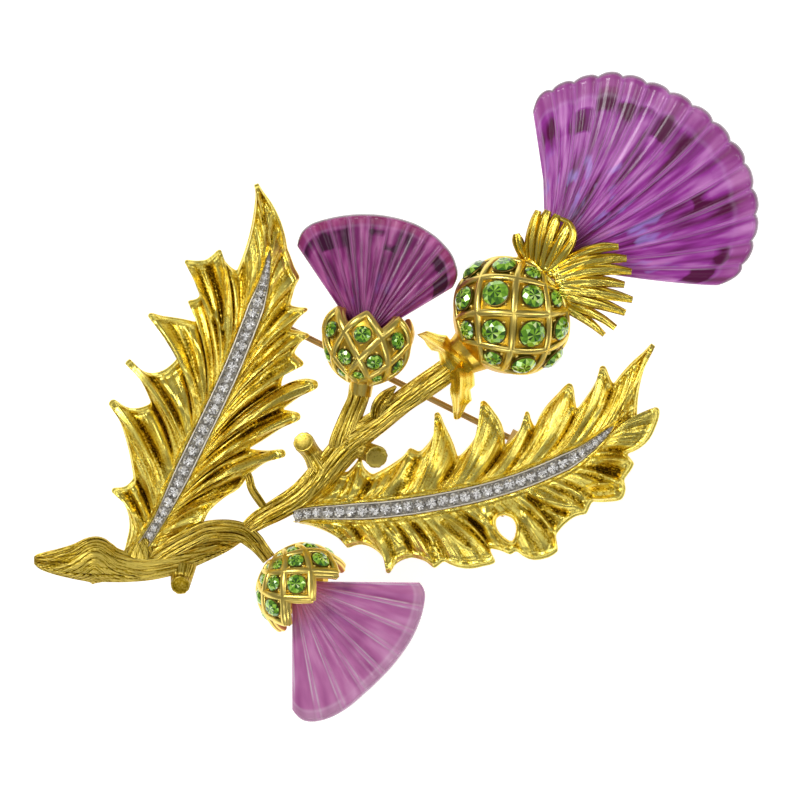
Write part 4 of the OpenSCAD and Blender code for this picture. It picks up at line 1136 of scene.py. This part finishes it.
def headStones(which):
    head = heads[which]
    cells = headCells(head)
    rng = np.random.RandomState(30 + len(cells))
    centre = spotAt(head["middle"])
    stones, seats, beads = Shape(), Shape(), Shape()
    for turn, m in cells:
        size = head["stone"] * float(np.sin(polarOf(m)))
        p = onBall(head, turn, m, head["radius"] - heads["barHeight"] + 0.12 + 0.3 * size)
        out = unit(p - centre)
        addGem(stones, rng, p, out, size, 0.34 * size, 0.4 * size, rng.uniform(0, 1), 0.55)
        # Four beads hold the stone in the corners of its cell
        for stepTurn, stepM in ((1, 0), (-1, 0), (0, 1), (0, -1)):
            corner = onBall(head, turn + stepTurn * head["turn"] / 2, m + stepM * head["rows"],
                            head["radius"] - heads["barHeight"] + 0.3)
            away = corner - p
            bead = p + unit(away) * min(size + 0.2, float(np.linalg.norm(away)) - 0.45) - out * 0.1
            addBall(beads, bead, 0.2 + 0.06 * size, direction=out)
        # A thin seat round each stone, painted dark as shade
        a = np.linspace(0, 2 * math.pi, 29)[:-1]
        axes = turnedTo(out)
        ring = p + (np.stack([np.cos(a), np.sin(a), 0 * a - 0.1], -1) * (size + 0.05)) @ axes
        side = unit(ring - p)
        tube = turnsOf(6)
        section = (side[:, None] * np.cos(tube)[None, :, None]
                   + out * np.sin(tube)[None, :, None])
        seats.sheet(ring[:, None] + heads["seatRadius"] * section, (0, 0, 0.55), loop=True)
    stones.build(which + "Stones", greenStone, "green_stone",
                 [f"{which}_stone_{i + 1}" for i in range(len(cells))], sharp=0)
    seats.build(which + "Seats", seatShadeGold, "gold")
    beads.build(which + "Prongs", polishedGold, "gold")


# The crown, collar, neck and sepals of the large cup
crown = {"sides": 36, "ridges": 7, "ridgeDepth": 0.15}
crown["strands"] = [
    [(529, 264, 6.5, 5, 0.9), (522, 252, 7, 5.2, 0.8), (517.5, 241, 7.6, 5.2, 0.7),
     (516, 234, 7.9, 3, 0.5)],
    [(533, 266, 7, 6, 1), (531, 245, 7.8, 6.6, 0.9), (534, 224, 8.2, 5, 0.7), (538, 211, 8.2, 3.2, 0.5)],
    [(537, 267, 7.6, 6, 1), (539, 243, 8.4, 6.2, 0.9), (544, 221, 8.7, 5, 0.7), (548, 211, 8.6, 3.2, 0.5)],
    [(541, 268, 8, 6, 1), (547, 244, 8.9, 6.2, 0.9), (554, 223, 9, 5, 0.7), (557, 215, 8.9, 3.2, 0.5)],
    [(545, 270, 8.3, 6, 1), (556, 248, 9.2, 6.2, 0.9), (565, 230, 9.3, 5, 0.7), (567, 222, 9.2, 3.2, 0.5)],
    [(548, 272, 8.4, 6, 1), (563, 253, 9.3, 6.2, 0.9), (572, 238, 9.5, 4, 0.6),
     (569, 225, 9.6, 3.2, 0.5), (560, 219, 9.6, 2.2, 0.4)],
    [(550, 273, 8.4, 6, 1), (577, 256, 9.3, 5, 0.8), (600, 248, 9.4, 5, 0.7), (618, 247, 9.3, 3.2, 0.5)],
    [(553, 276, 8.6, 6.6, 1), (580, 264, 9.5, 6.6, 0.9), (606, 259, 9.6, 5.2, 0.7),
     (626, 259, 9.5, 3.2, 0.5)],
    [(555, 280, 8.6, 6.6, 1), (582, 272, 9.5, 6.6, 0.9), (609, 269.5, 9.5, 5.4, 0.7),
     (631, 272, 9.4, 3.2, 0.5)],
    [(558, 284, 8.5, 6.6, 1), (584, 281.5, 9.3, 6.6, 0.9), (606, 282, 9.2, 5.2, 0.7),
     (624, 285, 9, 3.2, 0.5)],
    [(559, 289, 8.4, 6.6, 1), (586, 291, 9.1, 6.6, 0.9), (612, 295, 9, 5.4, 0.7),
     (632, 300, 8.8, 3.2, 0.5)],
    [(561, 294, 8, 6.6, 1), (585, 300, 8.7, 6.2, 0.9), (607, 306, 8.5, 5.2, 0.7),
     (625, 313, 8.2, 3.2, 0.5)],
    [(562, 299, 7.6, 6, 1), (583, 309, 8.1, 5, 0.9), (601, 318, 8, 4, 0.7), (615, 328, 7.8, 3.2, 0.5)],
    [(562, 304, 7.2, 6, 1), (579, 315, 7.6, 4.8, 0.9), (593, 325, 7.5, 3.8, 0.7),
     (604, 335, 7.3, 2.6, 0.5)]]
# Each sepal is rows across it: its left edge, its rib and its right edge as x and y, and
# the heights of the edges and of the rib
crown["sepals"] = [
    [((417, 334.5), (417.5, 335), (418.5, 336), 6.4, 6.6),
     ((427, 330.7), (425, 337), (424, 340.5), 5.8, 7.2),
     ((433, 332.5), (430, 341), (427, 346), 5.6, 7.5), ((439, 334.3), (436, 345), (431, 350.5), 5.5, 7.7),
     ((446.7, 335), (443, 349), (438, 352), 5.5, 7.9), ((451, 340.5), (450, 353), (439.7, 360.5), 5.5, 8.1),
     ((457, 345), (458, 358), (438.5, 368), 5.5, 8.1), ((466, 350), (466, 364), (443, 377), 5.3, 7.8),
     ((474, 356), (473, 370), (451, 383.5), 5.0, 7.2)],
    [((446, 377), (458, 368), (474, 368), 5.3, 8.3), ((451, 383), (460, 378), (474.5, 376), 5.4, 8.2),
     ((449.5, 389.5), (460, 387), (475, 385.5), 5.5, 8.0),
     ((450, 394), (459.5, 394), (470.5, 390), 5.5, 7.8),
     ((451.5, 399.5), (459, 401), (472, 400.5), 5.5, 7.5),
     ((452.5, 406), (458.5, 408), (466.8, 405.5), 5.6, 7.2),
     ((453, 412), (457.5, 413.5), (463.5, 412), 5.7, 6.9),
     ((453.6, 418.5), (456.5, 420), (460.5, 418.2), 6.0, 6.3)]]
crown["collar"] = [[(520, 258, 6.6), (533, 262, 8.2), (547, 270, 9.3), (558, 281, 9.6), (566, 294, 9.1),
                   (570, 311, 7.7)], [(527, 255, 6.8), (541, 261, 8.6), (554, 270, 9.6), (565, 283, 9.7),
                   (572, 297, 9), (574, 311, 7.8)]]
crown["base"] = [(528, 298, 6.2, 17, 2.4), (540, 287, 7.3, 26, 1.9), (549, 278, 7.9, 28, 1.2)]
crown["neck"] = [(486, 338, 5.6, 31, 2.9), (475, 347, 5.5, 26, 2.6), (464, 355, 5.4, 21, 2.1),
                 (453, 362.5, 5.2, 17, 1.7), (446, 367, 5.1, 13, 1.2)]
feet = {"middle": [(364, 372, 5.5, 14, 1.8), (361.5, 384, 5.2, 12, 1.6), (360, 396, 5, 11, 1.35)],
        "small": [(286, 580, 4.5, 9, 1.5), (276, 569, 4.5, 7, 1.1), (270.5, 561.5, 4.5, 6.5, 1)]}


def addSepal(shape, rows):
    # A toothed leaflet with a raised rib
    s = np.linspace(0, len(rows) - 1, 6 * len(rows))
    knots = np.array([[*left, *rib, *right, low, high] for left, rib, right, low, high in rows])
    i = np.minimum(np.floor(s).astype(int), len(rows) - 2)
    t = (s - i)[:, None]
    v = mix(knots[i], knots[i + 1], t)
    left, rib, right, low, high = v[:, 0:2], v[:, 2:4], v[:, 4:6], v[:, 6], v[:, 7]
    # Across on top from edge to edge, then back below
    shares, grid = np.concatenate([np.linspace(-1, 1, 17), np.linspace(1, -1, 5)]), []
    for share in shares:
        spot = toMm(rib + (left - rib) * max(-share, 0) + (right - rib) * max(share, 0))
        under = len(grid) >= 17
        z = low + (high - low) * (1 - abs(share)) ** 0.8 + 0.25 * math.exp(-(share / 0.14) ** 2)
        z = z + (0.12 if abs(abs(share) - 0.88) < 0.07 else 0) - (0.7 if under else 0)
        grid.append(np.concatenate([spot, z[:, None]], -1))
    grid = np.array(grid).transpose(1, 0, 2)
    across = np.abs(shares)[None]
    mark = np.zeros(grid.shape)
    mark[..., 0], mark[..., 1] = across * 2, s[:, None]
    # Painted shade in two grooves along the leaflet
    mark[..., 2] = 0.3 * bell(across, 0.72, 0.14) + 0.5 * bell(across, 0.3, 0.12)
    shape.sheet(grid, mark)


def makeLargeCup():
    head = heads["large"]
    shape = Shape()
    # The wall between the bars carries painted shade
    shape.sheet(headWall(head, False), (0, 0, 0.4))
    addLattice(shape, head)
    # The neck carries painted shade
    addBar(shape, crown["neck"], 40, 5, 0.05, 96, 0.25, mark=(0, 0, 0.34))
    shape.build("largeCup", polishedGold, "gold", ["large_cup"], sharp=50)
    makeCrown()


def makeCrown():
    # Ridged strands over a grainy collar, and the two leaflets at the neck
    shape, rng = Shape(), np.random.RandomState(5)
    for rows in crown["sepals"]:
        addSepal(shape, rows)
    addBar(shape, crown["base"], 60, 30, 0.12, 95, 0.2)
    for seed, rows in enumerate(crown["strands"]):
        addBar(shape, rows, crown["sides"], crown["ridges"], crown["ridgeDepth"], seed + 80, 0.2,
               shade=0.8)
    for rows in crown["collar"]:
        rows = np.array(rows)
        for s in np.linspace(0, len(rows) - 1, 26):
            spot = curve(rows, s)
            addBall(shape, np.array([*toMm(spot[:2] + rng.uniform(-1.2, 1.2, 2)), spot[2] - 0.45]),
                    rng.uniform(0.42, 0.62), direction=(0.3, 0.3, 1))
    shape.build("crown", crownGold, "gold", sharp=60)


def makeOpenCup(which):
    head = heads[which]
    shape = Shape()
    # The wall between the bars carries painted shade
    shape.sheet(headWall(head, True), (0, 0, 0.3))
    addLattice(shape, head)
    addRim(shape, head)
    addBar(shape, feet[which], 32, 8, 0.05, 98)
    shape.build(which + "Cup", polishedGold, "gold", [which + "_cup"], sharp=50)


makeLargeCup()
makeOpenCup("middle")
makeOpenCup("small")
for which in ("large", "middle", "small"):
    headStones(which)

# The tufts: the ribs' apex, the heights of the middle and the half thickness near the
# apex and at the rim, the number of ribs, the rim as angle and radius, the first and
# last angle at the apex, and the depth of the scallops of the rim
tufts = {
    "bar": 0.2, "barRise": 0.2, "hollow": 0.14, "acrossEach": 20, "outRows": 60,
    "large": {"apex": (545, 264), "near": (5.5, 2.1), "far": (2.9, 2.9), "ribs": 15,
              "rim": [(-7, 178), (-3, 196), (5, 211), (14, 222), (28, 229), (43, 224), (58, 214),
                      (70, 206), (82, 187), (89, 176), (93, 168), (94.5, 157)],
              "fan": (-9.5, 87), "scallop": 0.45, "from": 1.0, "slot": "violet"},
    "middle": {"apex": (362, 342), "near": (5.9, 2.4), "far": (5.6, 2.6), "ribs": 10,
               "rim": [(31, 106), (33, 115), (37, 120), (44, 126), (54, 129), (65, 130),
                       (75, 129), (89, 128), (102, 128), (114, 129), (120, 125), (124, 116)],
               "fan": (31, 124), "scallop": 0.0, "from": 1.6, "slot": "plum"},
    "small": {"apex": (292, 581), "near": (4.3, 2.4), "far": (2.4, 2.4), "ribs": 8,
              "rim": [(-90, 129), (-89, 136), (-86, 141.5), (-81, 143.5), (-75, 143), (-68, 140),
                      (-57, 134), (-47, 132), (-35, 132), (-25, 133.5), (-14.5, 134.5),
                      (-6, 134.5), (-2.2, 133), (-0.8, 127.5)],
              "fan": (-90, -1), "scallop": 0.0, "from": 1.6, "slot": "mauve"}}


def makeTuft(which):
    tuft = tufts[which]
    rim = np.array(tuft["rim"], float)
    ribs = tuft["ribs"]
    share = np.linspace(0, 1, ribs * tufts["acrossEach"] + 1)
    turn = mix(rim[0, 0], rim[-1, 0], share)
    turnIn = mix(tuft["fan"][0], tuft["fan"][1], share)
    # A narrow raised bar runs between each two broad hollow ribs
    phase = np.abs((ribs * share + 0.5) % 1 - 0.5) * 2
    bar = 1 - smoothStep(tufts["bar"] * 0.7, tufts["bar"] * 1.2, phase)
    groove = 1 - phase
    reach = softened(np.interp(turn, rim[:, 0], rim[:, 1]), 36) * step
    reach = reach - tuft["scallop"] * groove ** 2.5
    side = 2 * share - 1
    dome = 0.3 + 0.7 * np.sqrt(np.maximum(0, 1 - side ** 2))
    # The section of each column: out on top, round the rim, and back below
    rows = np.linspace(0, 0.955, tufts["outRows"])
    arc = np.linspace(0, math.pi, 13)
    out = np.concatenate([rows, 0.965 + 0.035 * np.sin(arc), rows[::-1]])
    up = np.concatenate([np.ones(len(rows)), np.cos(arc), -np.ones(len(rows))])
    r = mix(tuft["from"], reach[:, None], out[None])
    u = r / reach[:, None]
    angle = np.radians(mix(turnIn[:, None], turn[:, None], u ** 2))
    z = mix(tuft["near"][0], tuft["far"][0], u)
    h = mix(tuft["near"][1], tuft["far"][1], u) * dome[:, None]
    lift = tufts["barRise"] * bar - tufts["hollow"] * np.sin(math.pi * np.minimum(phase, 1)) ** 2
    z = z + up[None] * (h + lift[:, None] * smoothStep(0.0, 0.45, u) - tufts["barRise"])
    apex = toMm(tuft["apex"])
    grid = np.stack([apex[0] + r * np.cos(angle), apex[1] + r * np.sin(angle), z], -1)
    mark = np.stack([ribs * share[:, None] + 0 * u, u, bar[:, None] + 0 * u], -1)
    shape = Shape()
    shape.sheet(grid, mark)
    shape.build(which + "Tuft", resinOf[tuft["slot"]], tuft["slot"], [which + "_tuft"], sharp=50)


for which in ("large", "middle", "small"):
    makeTuft(which)

# The pin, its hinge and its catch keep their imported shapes
for node in ("pin", "pin_hinge", "pin_catch"):
    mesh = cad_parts[node].data
    mesh.materials.clear()
    mesh.materials.append(wireGold)
print("pieces made")

# A pale floor, low enough to clear the opened pin, soft light and a long lens straight
# above the brooch. The aim and the width of the view are in millimetres, the rest in
# metres.
studio = {
    "distance": 1.5, "aim": (0.325, -0.39, 5.0), "viewWidth": 104.033, "sensor": 36.0,
    "lights": [("key", (-0.42, 0.36, 0.7), 0.32, 0.28, 2.9),
               ("top", (-0.04, 0.1, 1.9), 0.7, 0.7, 2.6),
               ("side", (0.55, 0.05, 0.55), 0.14, 0.6, 1.1),
               ("low", (-0.1, -0.65, 0.5), 0.5, 0.14, 0.9)],
    "world": 0.2, "floor": -0.038, "floorHalf": 0.9}


def makeStudio():
    finish = Finish("paper")
    cloud = finish.noise(40.0, 2.0)
    paper = finish.surface({
        "Base Color": finish.blend(cloud, (0.93, 0.93, 0.93), (0.9, 0.9, 0.9)),
        "Roughness": 0.8, "Emission Color": (1, 1, 1, 1), "Emission Strength": 0.6})
    mesh = bpy.data.meshes.new("floor")
    far = studio["floorHalf"]
    mesh.from_pydata([(x, y, studio["floor"]) for y in (-far, far) for x in (-far, far)],
                     [], [(0, 1, 3, 2)])
    floor = bpy.data.objects.new("floor", mesh)
    mesh.materials.append(paper)
    link(floor)
    for name, place, wide, tall, power in studio["lights"]:
        lamp = bpy.data.lights.new(name, "AREA")
        lamp.shape, lamp.size, lamp.size_y, lamp.energy = "RECTANGLE", wide, tall, power
        holder = bpy.data.objects.new(name, lamp)
        holder.location = place
        holder.rotation_mode = "QUATERNION"
        holder.rotation_quaternion = (-holder.location).to_track_quat("-Z", "Y")
        link(holder)
    world = bpy.data.worlds.new("studio")
    bpy.context.scene.world = world
    world.use_nodes = True
    background = world.node_tree.nodes["Background"]
    background.inputs[0].default_value = (1, 1, 1, 1)
    background.inputs[1].default_value = studio["world"]
    lens = bpy.data.cameras.new("camera")
    lens.sensor_width = studio["sensor"]
    lens.lens = studio["sensor"] * studio["distance"] / (studio["viewWidth"] * 0.001)
    lens.clip_start, lens.clip_end = 0.1, 10.0
    camera = bpy.data.objects.new("camera", lens)
    aim = [value * 0.001 for value in studio["aim"]]
    camera.location = (aim[0], aim[1], aim[2] + studio["distance"])
    link(camera)
    bpy.context.scene.camera = camera
    bpy.context.scene.view_settings.view_transform = "Standard"


makeStudio()
print("studio made")
